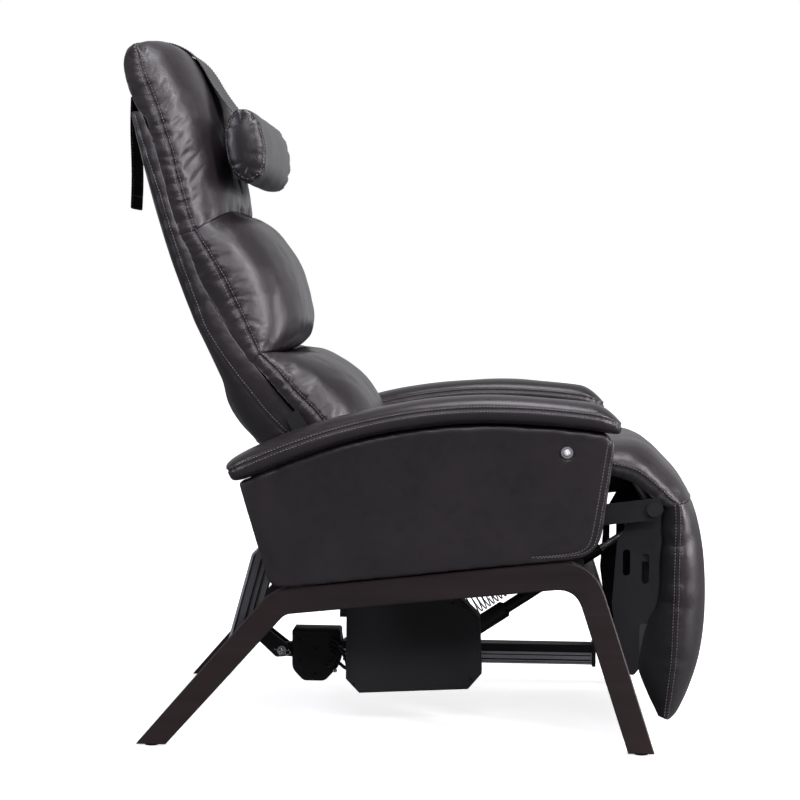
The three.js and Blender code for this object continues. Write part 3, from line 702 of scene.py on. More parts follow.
def puff(obj, seam, rear, pressure, cap, slack=0.003):
    """Blows the front panel up a little as cloth with some slack, and limits how far it moves."""
    rest = coordinates(obj)
    group = obj.vertex_groups.new(name="held")
    held = held_behind_seam(rest, seam, rear)
    for _, weight in HOLD_STEPS:
        chosen = np.where(held == weight)[0]
        if len(chosen):
            group.add(chosen.tolist(), weight, "REPLACE")
    cloth = obj.modifiers.new("cloth", "CLOTH")
    for key, value in CLOTH.items():
        setattr(cloth.settings, key, value)
    cloth.settings.uniform_pressure_force = pressure
    cloth.settings.shrink_min = -slack
    cloth.settings.effector_weights.gravity = 0
    cloth.collision_settings.use_collision = False
    cloth.point_cache.frame_start, cloth.point_cache.frame_end = 1, CLOTH_FRAMES
    for step in range(1, CLOTH_FRAMES + 1):
        SCENE.frame_set(step)
    graph = bpy.context.evaluated_depsgraph_get()
    moved = coordinates(obj.evaluated_get(graph))
    obj.modifiers.clear()
    obj.vertex_groups.clear()
    SCENE.frame_set(1)
    shift = moved - rest
    far = np.linalg.norm(shift, axis=1)
    shift *= (np.minimum(far, cap) / np.maximum(far, 1e-9))[:, None]
    set_coordinates(obj, rest + shift)


def refine(obj):
    obj.modifiers.new("subdivision", "SUBSURF").levels = 1
    apply_modifiers(obj)
    obj.data.shade_smooth()


def shade_behind_seam(obj, seam, rear):
    """Gives every face behind a seam a darker copy of the leather, as painted shade on the flank there."""
    obj.data.materials.append(MATERIALS["lining"])
    centres = np.empty(len(obj.data.polygons) * 3)
    obj.data.polygons.foreach_get("center", centres)
    behind = held_behind_seam(centres.reshape(-1, 3), seam, rear, steps=((-0.5 * MM, 1),))
    obj.data.polygons.foreach_set("material_index", behind.astype(np.int32))
    obj.data.update()


def finish_soft(obj, body, fill, *nodes):
    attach(obj, body)
    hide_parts(*nodes)


# ---- back cushions --------------------------------------------------------------------------------
BACK_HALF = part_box("back_cushion_middle")[1].x
# The side seam and the gusset's rear edge as they run up the back, and the shell behind them.
SEAM_LOWER = [(60, 425), (76, 458), (100, 492), (134, 528), (151, 547), (179, 574), (206, 604), (231, 628),
              (243, 640)]
SEAM_MIDDLE = [(243, 640), (262, 682), (281, 720), (306, 769), (331, 810), (349, 838)]
SEAM_UPPER = [(349, 838), (360, 867), (368, 893), (378, 926), (388, 966), (401, 1005), (412, 1039),
              (423, 1067), (434, 1094), (441, 1118), (446, 1141)]
GUSSET_LOWER = [(84, 418), (98, 446), (122, 478), (158, 517), (178, 541), (206, 571), (231, 600), (253, 622)]
GUSSET_MIDDLE = [(253, 622), (275, 650), (297, 682), (319, 720), (342, 763), (358, 801), (372, 831)]
GUSSET_UPPER = [(372, 831), (390, 881), (398, 914), (408, 950), (420, 988), (430, 1019), (443, 1033),
                (455, 1060), (464, 1090), (467, 1112), (462, 1131), (450, 1142)]
FRONT_LOWER = [(38, 440), (40, 488), (54, 534), (79, 578), (117, 611), (160, 631), (200, 640)]
FRONT_MIDDLE = [(205, 643), (189, 662), (183, 691), (187, 723), (199, 766), (223, 811), (255, 848),
                (298, 872)]
FRONT_UPPER = [(299, 872), (301, 890), (309, 935), (323, 1004), (343, 1072), (364, 1112), (386, 1143),
               (410, 1158), (433, 1160), (447, 1151)]
ROWS = 112


def back_cushion(part, front, seam, rear, rows, seed, rear_crown=0.0):
    front, seam, rear = (through(run, rows) for run in (front, seam, rear))
    half = BACK_HALF - 1 * MM
    obj = stuffed(f"back_{part}", front, seam, rear, half, bulge=1.5 * MM, rear_crown=rear_crown)
    puff(obj, seam, rear, pressure=2.5, cap=5 * MM)

    def below_top(co):
        return np.clip((1.150 - co[:, 2]) / 0.025, 0, 1)

    rows_of = []
    for side in (-1, 1):
        edge = at_side(seam, side * half)
        gather(obj, edge, ((7, 1.3, 13), (26, 2.0, 32)), groove=2.4, groove_width=2.8, seed=seed + side,
               only=below_top)
        gather(obj, at_side(rear, side * half), ((15, 1.3, 15),), seed=seed + side + 4, only=below_top)
        rows_of += [(edge, (0, -3.2 * MM, 1.6 * MM)), (edge, (side * MM, 3.6 * MM, -1.8 * MM))]
    for end, reach in ((0, 26), (-1, 22)):
        crease = over_crown(front[end], seam[end], half, 0.98, 60)
        gather(obj, crease, ((17, 1.6, reach), (52, 2.6, 1.8 * reach)), seed=seed + 9 + end, only=below_top)
    wander(obj, 3.6 * MM, 0.11, seed)
    wander(obj, 1.2 * MM, 0.03, seed + 1)
    refine(obj)
    stitches(f"back_{part}_stitching", "back", obj, rows_of)
    finish_soft(obj, "back", 0.75, f"back_cushion_{part}")
    return obj


back_cushion("lower", FRONT_LOWER, SEAM_LOWER, GUSSET_LOWER, ROWS, 11)
back_cushion("middle", FRONT_MIDDLE, SEAM_MIDDLE, GUSSET_MIDDLE, ROWS, 23)
hood = back_cushion("upper", FRONT_UPPER, SEAM_UPPER, GUSSET_UPPER, ROWS + 24, 37, rear_crown=3 * MM)


# ---- rear shell -----------------------------------------------------------------------------------
SHELL_SIDE = [(438, 1032), (420, 988), (408, 950), (398, 914), (390, 881), (372, 831), (356, 801), (342, 763),
              (319, 720), (297, 682), (275, 650), (253, 622), (231, 598), (206, 570), (178, 540), (158, 516),
              (140, 494)]
SHELL_EDGE = [(452, 1033), (447, 1010), (437, 978), (423, 936), (409, 897), (399, 864), (373, 786),
              (357, 744), (341, 700), (329, 672), (303, 633), (281, 603), (256, 571), (228, 536), (196, 506),
              (160, 480)]
SHELL_REAR = [(458, 1028), (449, 985), (437, 930), (424, 880), (404, 815), (381, 750), (358, 692), (334, 640),
              (313, 590), (302, 552), (284, 520), (262, 494), (246, 478)]
SHELL_SHAPE = {"power": 7.0, "root": 0.52}


def make_shell():
    side, edge, rear = (through(run, 130) for run in (SHELL_SIDE, SHELL_EDGE, SHELL_REAR))
    half = BACK_HALF - 0.5 * MM
    obj = stuffed("back_shell_cover", rear, edge, side, half, bulge=2 * MM, steps=8, **SHELL_SHAPE)
    for hand in (-1, 1):
        gather(obj, at_side(edge, hand * half), ((30, 1.8, 30),), groove=1.2, groove_width=2.5,
               seed=53 + hand)
        gather(obj, at_side(side, hand * half), ((14, 1.1, 18),), seed=57 + hand)

    def loose(co):
        return np.clip((0.66 - co[:, 2]) / 0.12, 0.12, 1)

    wander(obj, 6 * MM, 0.07, 61, stretch=(1, 0.8, 0.45), only=loose)
    wander(obj, 2 * MM, 0.16, 67)
    refine(obj)
    hem = over_crown(rear[-3], edge[-3], BACK_HALF, 0.985, 120, **SHELL_SHAPE)
    rows_of = [(at_side(edge[2:-2], hand * half), (0, -4 * MM, 2 * MM)) for hand in (-1, 1)]
    stitches("back_shell_stitching", "back", obj, [*rows_of, (hem, (0, 0, 6 * MM))])
    finish_soft(obj, "back", 0.2, "back_shell")


make_shell()


# ---- seat, bridge and leg rest ---------------------------------------------------------------------
SEAT_CHANNELS = (0.36, 0.7)  # how far forward the two sewn channels lie


def make_seat():
    rows = 100
    _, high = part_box("seat_cushion")
    half = high.x - 1 * MM
    rear_end = high.y / MM - 1
    top, seam, base = (through(run, rows) for run in (
        [(rear_end, 436), (20, 455), (-40, 461), (-120, 468), (-200, 480), (-270, 493), (-312, 502),
         (-330, 499)],
        [(rear_end, 410), (0, 421), (-120, 435), (-240, 457), (-330, 478)],
        [(rear_end, 373), (-330, 415)]))
    obj = stuffed("seat_pad", top, seam, base, half, bulge=3 * MM)
    puff(obj, seam, base, pressure=2.0, cap=4 * MM)
    for side in (-1, 1):
        gather(obj, at_side(seam, side * half), ((9, 1.3, 14), (30, 3.0, 45)), groove=2.0, seed=71 + side)
    rows_of = []
    for place in SEAT_CHANNELS:
        k = int(place * (rows - 1))
        channel = over_crown(top[k], seam[k], half, 0.97, 80)
        gather(obj, channel, ((19, 1.4, 30),), groove=7, groove_width=13, seed=int(80 * place))
        rows_of += [(channel, (0, 4.5 * MM, 0)), (channel, (0, -4.5 * MM, 0))]
    wander(obj, 2.5 * MM, 0.12, 77)
    refine(obj)
    rows_of += [(at_side(seam, side * half), (0, 0, 4 * MM)) for side in (-1, 1)]
    stitches("seat_pad_stitching", "seat", obj, rows_of)
    finish_soft(obj, "seat", 0.75, "seat_cushion")


make_seat()

REST_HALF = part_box("legrest_cushion")[1].x


def make_bridge():
    top, seam, under = (through(run, 76) for run in (
        [(-326, 501), (-345, 500), (-364, 500), (-388, 497), (-412, 485), (-436, 462), (-460, 437),
         (-480, 405)],
        [(-326, 462), (-350, 458), (-382, 449), (-413, 426), (-436, 405), (-449, 397)],
        [(-330, 446), (-352, 442), (-378, 432), (-402, 413), (-423, 398), (-436, 392)]))
    half = REST_HALF - 1 * MM
    obj = stuffed("bridge_cover", top, seam, under, half, bulge=0.5 * MM, steps=3, power=6.5, root=0.55)
    for side in (-1, 1):
        gather(obj, at_side(seam, side * half), ((7, 1.2, 13), (22, 1.6, 26)), groove=1.6, seed=91 + side)
        for share, full in ((0.965, 0.62), (0.90, 0.80)):
            crease = at_side(seam + (top - seam) * full, side * share * half)
            gather(obj, crease[6:-8], groove=2.0, groove_width=4.5)
    wander(obj, 3.0 * MM, 0.08, 93)
    refine(obj)
    shade_behind_seam(obj, seam, under)
    rows_of = [(at_side(seam, side * half), (0, -1.5 * MM, 4 * MM)) for side in (-1, 1)]
    thread = stitches("bridge_stitching", None, obj, rows_of)
    for piece in (obj, thread):
        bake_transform(piece)
    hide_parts("bridge_pad")


make_bridge()


def make_leg_rest():
    front, seam, rear = (through(run, 130) for run in (
        [(-478, 401), (-488, 376), (-498, 335), (-504, 290), (-506, 235), (-503, 180), (-496, 132),
         (-483, 88), (-469, 57), (-459, 42), (-450, 37)],
        [(-449, 398), (-451, 369), (-450, 298), (-450, 247), (-449, 200), (-447, 139), (-442, 92),
         (-437, 41)],
        [(-428, 396), (-426, 360), (-425, 298), (-421, 240), (-402, 196), (-394, 160), (-393, 120),
         (-406, 84), (-423, 46)]))
    half = REST_HALF - 1 * MM
    obj = stuffed("legrest_pad", front, seam, rear, half, rear_half=half - 6 * MM, bulge=2 * MM, power=5.5)
    puff(obj, seam, rear, pressure=2.0, cap=3 * MM, slack=0.0)
    rows_of = []
    for side in (-1, 1):
        edge = at_side(seam, side * half)
        gather(obj, edge, ((9, 1.1, 12), (44, 3.0, 34)), groove=2.0, seed=101 + side)
        flank = at_side(np.linspace((-0.448, 0.236), (-0.420, 0.236), 24), side * half)
        gather(obj, flank, ((9, 0.9, 14),), groove=1.8, seed=111 + side)
        rows_of += [(edge, (0, -4.0 * MM, 0)), (edge, (side * MM, 3.6 * MM, 0))]
    wander(obj, 2.4 * MM, 0.12, 103)
    refine(obj)
    shade_behind_seam(obj, seam, rear)
    stitches("legrest_stitching", "legrest", obj, rows_of)
    finish_soft(obj, "legrest", 0.7, "legrest_cushion")


make_leg_rest()


# ---- arms -----------------------------------------------------------------------------------------
ARM_PEAK_Y, ARM_PEAK_Z = -0.150, 0.553
ARM_FALL_FRONT, ARM_FALL_REAR = 2.5, 1.7  # twice the curve's radius ahead of the peak and behind it
PAD_HALF_HEIGHT = 21 * MM
TIP_DROOP = 9 * MM


def arm_middle(y):
    """Height and slope of the arm pad's middle line."""
    past = y - ARM_PEAK_Y
    fall = ARM_FALL_REAR if past > 0 else ARM_FALL_FRONT
    return ARM_PEAK_Z - past ** 2 / fall, -2 * past / fall


def arm_pad(hand, seed):
    low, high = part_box(f"arm_pad_{hand}")
    centre, middle = (low.x + high.x) / 2, (low.y + high.y) / 2
    wide, long = (high.x - low.x) / 2, (high.y - low.y) / 2
    rings, around = 130, 44
    t = np.linspace(-1, 1, rings)
    patch = np.empty((rings, around + 1, 3))
    seam = {-1: [], 1: []}
    for i, place in enumerate(np.sign(t) * (1 - (1 - np.abs(t)) ** 1.7)):
        y = middle + place * long
        height, slope = arm_middle(y)
        tip = min(max((-place - 0.85) / 0.15, 0), 1) ** 1.7
        w = wide * (0.42 + 0.58 * (1 - abs(place) ** 14) ** 0.5)
        h = PAD_HALF_HEIGHT * (0.46 + 0.54 * (1 - abs(place) ** 16) ** 0.5)
        out = Vector((0, -slope, 1)).normalized()
        base = Vector((centre, y, height - TIP_DROOP * tip))
        for k in range(around + 1):
            a = 2 * math.pi * k / around
            c, s = math.cos(a), math.sin(a)
            x = math.copysign(abs(c) ** 0.62, c) * w
            if s > 0:
                crown = 2.5 * MM * (1 - (x / wide) ** 2) * (1 - tip)
                lift = s ** 0.8 * h * (1 - 0.5 * tip) + crown
            else:
                lift = -abs(s) ** 0.66 * h * (1 - 0.2 * tip)
            patch[i, k] = base + Vector((x, 0, 0)) + out * lift
        for side, k in ((1, 0), (-1, around // 2)):
            seam[side].append(patch[i, k] + np.array(out) * 4 * MM)
    lids = []
    for i in (0, -1):
        hub = patch[i, :-1].mean(axis=0)
        lids.append(np.stack([patch[i], (patch[i] + hub) / 2, np.repeat(hub[None], around + 1, 0)]))
    obj = from_patches(f"arm_rest_{hand}", [patch, *lids], "leather")
    line = np.vstack([seam[1], seam[-1][::-1], seam[1][:1]])
    gather(obj, line, ((11, 0.5, 9),), groove=2.2, groove_width=2.8, seed=seed)

    def tips(co):
        return np.clip((np.abs(co[:, 1] - middle) - 0.235) / 0.06, 0, 1)

    gather(obj, line, ((6, 2.4, 12),), seed=seed + 4, only=tips)
    wander(obj, 1.6 * MM, 0.09, seed)
    refine(obj)
    stitches(f"arm_rest_stitching_{hand}", "base", obj, [(line, (0, 0, 3.8 * MM)), (line, (0, 0, -3.8 * MM))])
    finish_soft(obj, "base", 0.85, f"arm_pad_{hand}")


arm_pad("left", 121)
arm_pad("right", 131)

PANEL_FRONT_SEAM = [(-336, 520), (-335, 506), (-331, 480), (-322, 420), (-313, 366), (-307, 342), (-296, 330),
                    (-276, 324), (-250, 321), (-215, 318)]


def arm_panel(hand, seed):
    obj = bpy.data.objects.new(f"arm_side_{hand}", frame["nodes"][f"arm_panel_{hand}"].data.copy())
    SCENE.collection.objects.link(obj)
    remesh = obj.modifiers.new("remesh", "REMESH")
    remesh.mode = "VOXEL"
    remesh.voxel_size = 4.5 * MM
    smoother = obj.modifiers.new("smooth", "SMOOTH")
    smoother.factor, smoother.iterations = 0.5, 7
    apply_modifiers(obj)
    outer = max((corner.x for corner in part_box(f"arm_panel_{hand}")), key=abs)
    line = at_side(through(PANEL_FRONT_SEAM, 120), outer)
    gather(obj, line, ((9, 0.7, 9),), groove=2.6, seed=seed)

    def rear(co):
        return np.clip((co[:, 1] - 0.16) / 0.08, 0, 1) * np.clip((co[:, 2] - 0.33) / 0.1, 0, 1)

    wander(obj, 5 * MM, 0.032, seed, stretch=(0.2, 1, 0.28), only=rear)
    wander(obj, 1.6 * MM, 0.13, seed + 2)
    refine(obj)
    obj.data.materials.clear()
    obj.data.materials.append(MATERIALS["leather"])
    rows_of = [(line, (0, 4.2 * MM, 0.6 * MM)), (line, (0, -4.2 * MM, -0.6 * MM))]
    stitches(f"arm_side_stitching_{hand}", "base", obj, rows_of)
    finish_soft(obj, "base", 0.4, f"arm_panel_{hand}")


arm_panel("left", 141)
arm_panel("right", 151)


# ---- head pillow and strap --------------------------------------------------------------------------
def middle_of(node):
    low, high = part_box(node)
    return (low + high) / 2


PILLOW_TILT = math.radians(-9)
PILLOW_AT = middle_of("head_pillow")
PILLOW_THICK, PILLOW_TALL = 34 * MM, 62 * MM  # half its section's depth and height
PILLOW_DOME = 17 * MM  # how far each end stands out past its seam


def pillow_ring(x, scale, around=108):
    points = []
    c, s = math.cos(PILLOW_TILT), math.sin(PILLOW_TILT)
    for k in range(around + 1):
        a = 2 * math.pi * k / around
        y, z = PILLOW_THICK * math.cos(a) * scale, PILLOW_TALL * math.sin(a) * scale
        points.append((x, PILLOW_AT.y + c * y - s * z, PILLOW_AT.z + s * y + c * z))
    return points


def make_pillow():
    seam_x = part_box("head_pillow")[1].x - 11 * MM
    places = [(x * seam_x, 1.0 + 0.035 * math.cos(x * math.pi / 2) - 0.03 * abs(x) ** 12)
              for x in np.linspace(-1, 1, 140)]
    caps = [(seam_x + PILLOW_DOME * math.sin(a) ** 0.9, math.cos(a) ** 0.8)
            for a in np.linspace(0.16, math.pi / 2, 26)]
    rings = [*((-x, scale) for x, scale in reversed(caps)), *places, *caps]
    obj = from_patches("head_pillow_cover", [[pillow_ring(x, s) for x, s in rings]], "leather")
    bm = bmesh.new()
    bm.from_mesh(obj.data)
    bmesh.ops.dissolve_degenerate(bm, dist=1e-6, edges=bm.edges)
    bm.to_mesh(obj.data)
    bm.free()
    rows_of = []
    for side in (-1, 1):
        ring = np.array(pillow_ring(side * (seam_x + 1.5 * MM), 0.985))
        gather(obj, ring, ((8, 1.8, 14), (20, 3.2, 30)), groove=2.2, groove_width=2.6, seed=161 + side)
        inner = np.array(pillow_ring(side * (seam_x + 8 * MM), 0.88))
        rows_of += [(ring, (-side * 4.5 * MM, 0, 0)), (inner, (0, 0, 0))]
    wander(obj, 2.4 * MM, 0.06, 163, stretch=(0.6, 1, 1))
    refine(obj)
    stitches("head_pillow_stitching", "pillow", obj, rows_of)
    finish_soft(obj, "pillow", 0.8, "head_pillow")


make_pillow()

STRAP_ROUTE = [(296, 1031), (310, 1048), (331, 1075), (361, 1117), (386, 1146), (411, 1162), (436, 1164),
               (461, 1153), (475, 1127), (482.6, 1082), (483, 1063)]
STRAP_CLEAR = 2.4 * MM  # how far the strap's line lies above the hood
STRAP_LAP = 1.0 * MM  # how deep the rear half's end is tucked under the front half on the hood
STRAP_THICK, TAIL_THICK = 2.0 * MM, 2.4 * MM
STRAP_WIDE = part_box("pillow_strap")[1].x
TAIL_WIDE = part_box("strap_tail")[1].x


def ribbon(name, line, halves, thick, look):
    """A strap with rounded, slightly raised edges, along a (y, z) line with a half width at each point."""
    shape = [(-1.0, 0.5), (-0.985, 0.95), (-0.95, 1.12), (-0.9, 1.0), (-0.5, 1.0), (0, 1.0), (0.5, 1.0),
             (0.9, 1.0), (0.95, 1.12), (0.985, 0.95), (1.0, 0.5), (0.985, 0.05), (0.9, 0.0), (0.5, 0.0),
             (0, 0.0), (-0.5, 0.0), (-0.9, 0.0), (-0.985, 0.05), (-1.0, 0.5)]
    rings = []
    for i, (p, half) in enumerate(zip(line, halves)):
        ahead = line[min(i + 1, len(line) - 1)] - line[max(i - 1, 0)]
        ahead = ahead / np.linalg.norm(ahead)
        out = np.array([-ahead[1], ahead[0]])
        rings.append([(share * half, *(p + out * lift * thick)) for share, lift in shape])
    lids = []
    for i in (0, -1):
        hub = np.mean(rings[i][:-1], axis=0)
        lids.append(np.stack([rings[i], np.repeat(hub[None], len(shape), 0)]))
    return from_patches(name, [rings, *lids], look)


def laid_on(line, skin, half, snug):
    """Moves a (y, z) line square to itself until a strap on it lies on a skin.

    Where snug is false it only moves out.
    """
    tree = surface_tree(skin)
    ahead = np.gradient(line, axis=0)
    ahead /= np.linalg.norm(ahead, axis=1)[:, None]
    out = np.column_stack([-ahead[:, 1], ahead[:, 0]])
    reach = 40 * MM
    lifts = []
    for p, o, hold in zip(line, out, snug):
        above = [-reach]
        for x in np.linspace(-half, half, 13):
            _, _, _, gone = tree.ray_cast(Vector((x, *(p + o * reach))), Vector((0, *-o)), 2 * reach)
            if gone is not None:
                above.append(reach - gone)
        lift = max(above) + STRAP_CLEAR
        lifts.append(lift if hold else max(lift, 0))
    lifts = np.convolve(np.pad(lifts, 3, mode="edge"), np.ones(7) / 7, mode="valid")
    return line + out * lifts[:, None]


def strap_half(name, line, halves):
    """One stitched half of the strap, stretching between two bodies."""
    strap = ribbon(name, line, halves, STRAP_THICK, "strap")
    refine(strap)
    edges = [np.column_stack([side * (halves - 7 * MM), line]) for side in (-1, 1)]
    thread = stitches(f"{name}_stitching", None, strap, [(edge, (0, 0, 3 * MM)) for edge in edges])
    for piece in (strap, thread):
        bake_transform(piece)
    return strap


def make_strap():
    """Two halves that meet on the hood: the front runs to the pillow, and the rear to the tail."""
    count = 76
    line = through(STRAP_ROUTE, count)
    line = laid_on(line, hood, TAIL_WIDE, (line[:, 1] > 1.115) & (line[:, 0] < 0.445))
    halves = STRAP_WIDE + (TAIL_WIDE - STRAP_WIDE) * np.clip(np.linspace(0, 1, count) / 0.8, 0, 1)
    top = int(line[:, 1].argmax())
    front = strap_half("pillow_strap_band", line[:top + 3], halves[:top + 3])
    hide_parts("pillow_strap")
    rear = line[top:].copy()
    rear[:, 1] -= STRAP_LAP * np.clip(1 - np.arange(len(rear)) / 4, 0, 1)
    strap_half("pillow_strap_rear", rear, halves[top:])


def make_tail():
    low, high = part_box("strap_tail")
    z = np.linspace(high.z, low.z, 60)
    down = high.z - z
    y = (low.y + high.y) / 2 + 1.2 * MM * np.sin(down * 34) - 1 * MM
    halves = TAIL_WIDE - 1.5 * MM * np.sin(down * 21) - 5 * MM * (down / (high.z - low.z)) ** 3
    tail = ribbon("pillow_strap_tail", np.column_stack([y, z]), halves, TAIL_THICK, "webbing")
    refine(tail)
    rows_of = [(np.column_stack([side * (halves - 6 * MM), y, z]), (0, 0, 0)) for side in (-1, 1)]
    x = np.linspace(-0.05, 0.05, 30)
    rows_of.append((np.column_stack([x, np.full(30, y[-8]), np.full(30, z[-8])]), (0, 0, 0)))
    stitches("pillow_tail_stitching", "tail", tail, rows_of)
    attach(tail, "tail")
    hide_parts("strap_tail")


make_strap()
make_tail()


# ---- mechanism -------------------------------------------------------------------------------------
NEAR = Vector((-1, 0, 0))  # the way that the drive's near faces look
ROD_SLOPE = math.radians(33.5)
ALONG = Vector((0, -math.cos(ROD_SLOPE), math.sin(ROD_SLOPE)))
ABOVE = Vector((0, math.sin(ROD_SLOPE), math.cos(ROD_SLOPE)))


def small_part(name, body, look, pieces):
    """One object from several (vertices, faces) pieces, riding on a body."""
    verts, faces = [], []
    for piece_verts, piece_faces in pieces:
        base = len(verts)
        verts.extend(piece_verts)
        faces.extend([[base + i for i in face] for face in piece_faces])
    obj = new_object(name, verts, faces, look, merge=0)
    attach(obj, body)
    return obj


def turned(profile, start, sides=24):
    """A closed turned solid standing out from start: profile holds (radius, distance out) from end to end."""
    side = NEAR.orthogonal().normalized()
    verts = []
    for radius, out in profile:
        verts += ring_points(Vector(start) + NEAR * out, side, NEAR.cross(side), radius, sides)
    return verts, barrel_faces(len(profile), sides)


def extruded(outline, x0, x1, round_off=0.8 * MM):
    """A plate between x0 and x1 from (y, z) corners in millimetres, its rims eased by round_off."""
    points = np.array(outline, float) * MM
    inward = points.mean(axis=0) - points
    inward = inward / np.linalg.norm(inward, axis=1)[:, None]
    verts = []
    for x, inset in ((x0, round_off), (x0 + round_off, 0), (x1 - round_off, 0), (x1, round_off)):
        verts.extend((x, *p) for p in points + inward * inset)
    return verts, barrel_faces(4, len(points))


def screw(at, radius, head=1.6 * MM):
    """A domed screw head with a recess, standing on a near face."""
    return turned([(radius, -1 * MM), (radius, head * 0.5), (radius * 0.8, head),
                   (radius * 0.45, head * 1.05), (radius * 0.38, head * 0.35)], at, 16)


SPRING_LENGTH, SPRING_RADIUS, SPRING_TURNS = 170 * MM, 16.3 * MM, 21
SPRING_STEPS = 20  # points in each turn


def make_spring():
    rear = middle_of("legrest_spring") - ALONG * SPRING_LENGTH / 2
    points = []
    for t in np.linspace(0, 1, SPRING_TURNS * SPRING_STEPS + 1):
        a = 2 * math.pi * SPRING_TURNS * t
        across = math.sin(a) * ABOVE - math.cos(a) * NEAR
        points.append(rear + ALONG * SPRING_LENGTH * t + across * SPRING_RADIUS)
    coil = tube_object("legrest_spring_coil", points, 1.3 * MM, "stainless", sides=8)
    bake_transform(coil)
    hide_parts("legrest_spring")
    hook = [(rear + ALONG * along * MM + ABOVE * above * MM) / MM
            for along, above in ((0, 16), (-6, 14), (-12, 6), (-11, -10), (-4, -20))]
    small_part("legrest_spring_hook", "seat", "stainless", [tube(through(hook, 24), 1.8 * MM)])


RAIL_SLOT_SHADES = ((106.8, 0.8), (98.5, 1.1), (94.5, 0.5))  # (height, half width) of the dark strips along the rail, painted shade where its slots lie


def make_rail_details():
    low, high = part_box("drive_rail")
    rear, front = high.y / MM - 1, low.y / MM + 1
    strips = []
    for x in (-high.x, high.x):
        for z, half in RAIL_SLOT_SHADES:
            corners = [(front, z - half), (rear, z - half), (rear, z + half), (front, z + half)]
            strips.append(extruded(corners, x - 0.3 * MM, x + 0.3 * MM, 0.1 * MM))
    # black strips on both faces of the rail: painted shade standing in for its slots
    small_part("drive_rail_slot_shade", "base", "black_steel", strips)


GEARBOX_SCREWS = ((192, 128), (134, 128), (190, 92), (136, 88), (163, 68), (163, 112))
GEARBOX_LID = [(123, 146.2), (202, 146.2), (204, 143), (204, 135.5), (119.5, 135.5), (119.5, 143)]
CLIP_BEND = [(-2.2, -13, 3), (-2.2, -4, 0.5), (-2.2, 2, -1.2), (-2.4, 6, -4.5), (-2.6, 11, -6.5),
             (-2.6, 15.5, -4), (-2.6, 14, 0.5), (-2.4, 9, 0.5), (-2.2, 4.5, -3.5), (-2.2, 0, -7.5),
             (-2.2, -5, -7)]
WIRE_BOWS = ((17, 20), (22, 12), (14, 3), (19, -8))  # (how far out, how much higher) each of the wires bows


def make_gearbox_details():
    case_low, case_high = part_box("tilt_gearbox")
    near = case_low.x
    small_part("gearbox_screws", "base", "black_steel",
               [screw((near, y * MM, z * MM), 3.2 * MM) for y, z in GEARBOX_SCREWS])
    small_part("gearbox_ground_screw", "base", "stainless", [screw((near, 0.128, 0.074), 3.6 * MM, 2.4 * MM)])
    small_part("gearbox_lid", "base", "black_plastic",
               [extruded(GEARBOX_LID, near - 1.6 * MM, case_high.x + 1.6 * MM)])
    at = middle_of("clevis_pin")
    at.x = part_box("clevis_pin")[0].x
    route = through([(at.x / MM + x, at.y / MM - y, at.z / MM + z) for x, y, z in CLIP_BEND], 60)
    washer = [(5.2 * MM, -1 * MM), (5.2 * MM, 1.4 * MM), (4.4 * MM, 2.2 * MM), (0.5 * MM, 2.4 * MM)]
    small_part("clevis_clip", "base", "stainless", [tube(route, 1.0 * MM), turned(washer, at)])
    wires = []
    for k, (reach, rise) in enumerate(WIRE_BOWS):
        x = near / MM - 2 - 1.5 * k
        route = [(x + 4, 142 - 3 * k, 122 - 5 * k), (x - 3, 134, 124 + rise * 0.3 - 5 * k),
                 (x - 4, 126 - reach * 0.3, 112 + rise * 0.4 - 4 * k), (x - 3, 128, 96 - 3 * k),
                 (x + 2, 138, 86 - 2 * k), (x + 5, 144, 84)]
        wires.append(tube(through(route, 40), 1.7 * MM))
    small_part("gearbox_wires", "base", "black_cable", wires)


BOX_SCREWS = ((-112, 86), (86, 74), (88, 214), (-82, 214), (74, 259))
BOX_RIM = [(-126, 98), (-122, 189), (-86, 223), (95, 223), (95, 84), (75, 63), (-106, 73), (-126, 98)]


def make_box_details():
    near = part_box("control_box")[0].x
    small_part("control_box_screws", "base", "black_steel",
               [screw((near, y * MM, z * MM), 2.6 * MM, 1.2 * MM) for y, z in BOX_SCREWS])
    rim = even(at_side(np.array(BOX_RIM) * MM, near), 260)
    small_part("control_box_rim", "base", "black_plastic", [tube(rim, 0.7 * MM, 6)])


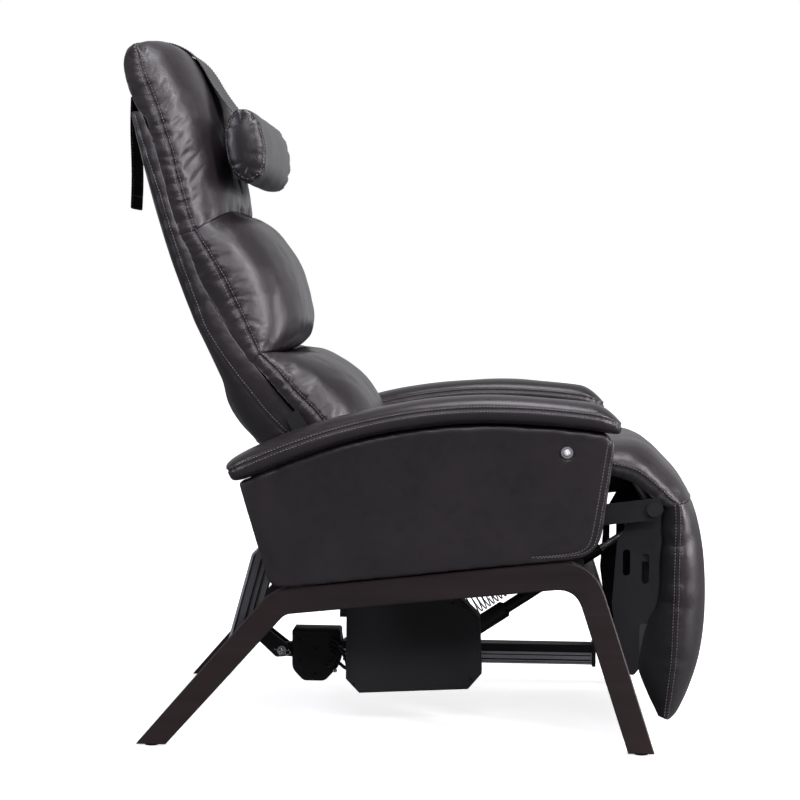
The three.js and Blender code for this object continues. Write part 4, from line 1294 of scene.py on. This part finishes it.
BUTTON_RAYS = 12
BUTTON_RINGS = ((5.2, -0.4), (4.9, 0.5), (2.2, 1.3))  # (radius, how far out)


def make_button_face():
    """A faceted cap: every second ray of its rings stands a little proud."""
    at = middle_of("recline_button")
    at.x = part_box("recline_button")[0].x + 0.2 * MM
    sides = 2 * BUTTON_RAYS
    verts = []
    for ring, (radius, rise) in enumerate(BUTTON_RINGS):
        for k in range(sides):
            a = math.pi * k / BUTTON_RAYS
            lift = rise + (0.35 if k % 2 and ring else 0)
            verts.append(at + Vector((-lift, radius * math.cos(a), radius * math.sin(a))) * MM)
    hub = len(verts)
    verts.append(at + NEAR * MM)
    *faces, inner = barrel_faces(len(BUTTON_RINGS), sides)
    faces += [(a, b, hub) for a, b in zip(inner, [*inner[1:], inner[0]])]
    cap = small_part("recline_button_face", "button", "button_metal", [(verts, faces)])
    cap.data.shade_flat()


SKIRT_BANDS = ((-0.270, -0.236), (-0.10, -0.04), (0.04, 0.10), (0.236, 0.270))  # each band's sides
BAND_MARGIN = 4 * MM


def make_skirt_details():
    low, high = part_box("rear_skirt")
    slope = Vector((0, high.y - low.y - 4 * MM, low.z - high.z)).normalized()
    out = Vector((0, slope.z, -slope.y))
    top = Vector((0, low.y - 0.4 * MM, high.z - 1 * MM))
    end = (high.z - low.z - 4 * MM) / -slope.z - BAND_MARGIN
    strips = []
    for x0, x1 in SKIRT_BANDS:
        corners = ((BAND_MARGIN, x0), (BAND_MARGIN, x1), (end, x1), (end, x0))
        verts = [top + slope * along + Vector((x, 0, 0)) for along, x in corners]
        verts += [v - out * 0.8 * MM for v in verts]
        strips.append((verts, barrel_faces(2, 4)))
    small_part("rear_skirt_bands", "base", "black_steel", strips)


make_spring()
make_rail_details()
make_gearbox_details()
make_box_details()
make_button_face()
make_skirt_details()


# ---- carried-over pieces ----------------------------------------------------------------------------
SLOT_OF = {part["node"]: part["material_slot"] for part in frame["record"]["subparts"]}
for node_name, node in frame["nodes"].items():
    look = MATERIALS.get(SLOT_OF.get(node_name), MATERIALS["black_steel"])
    node.data.materials.clear()
    node.data.materials.append(look)
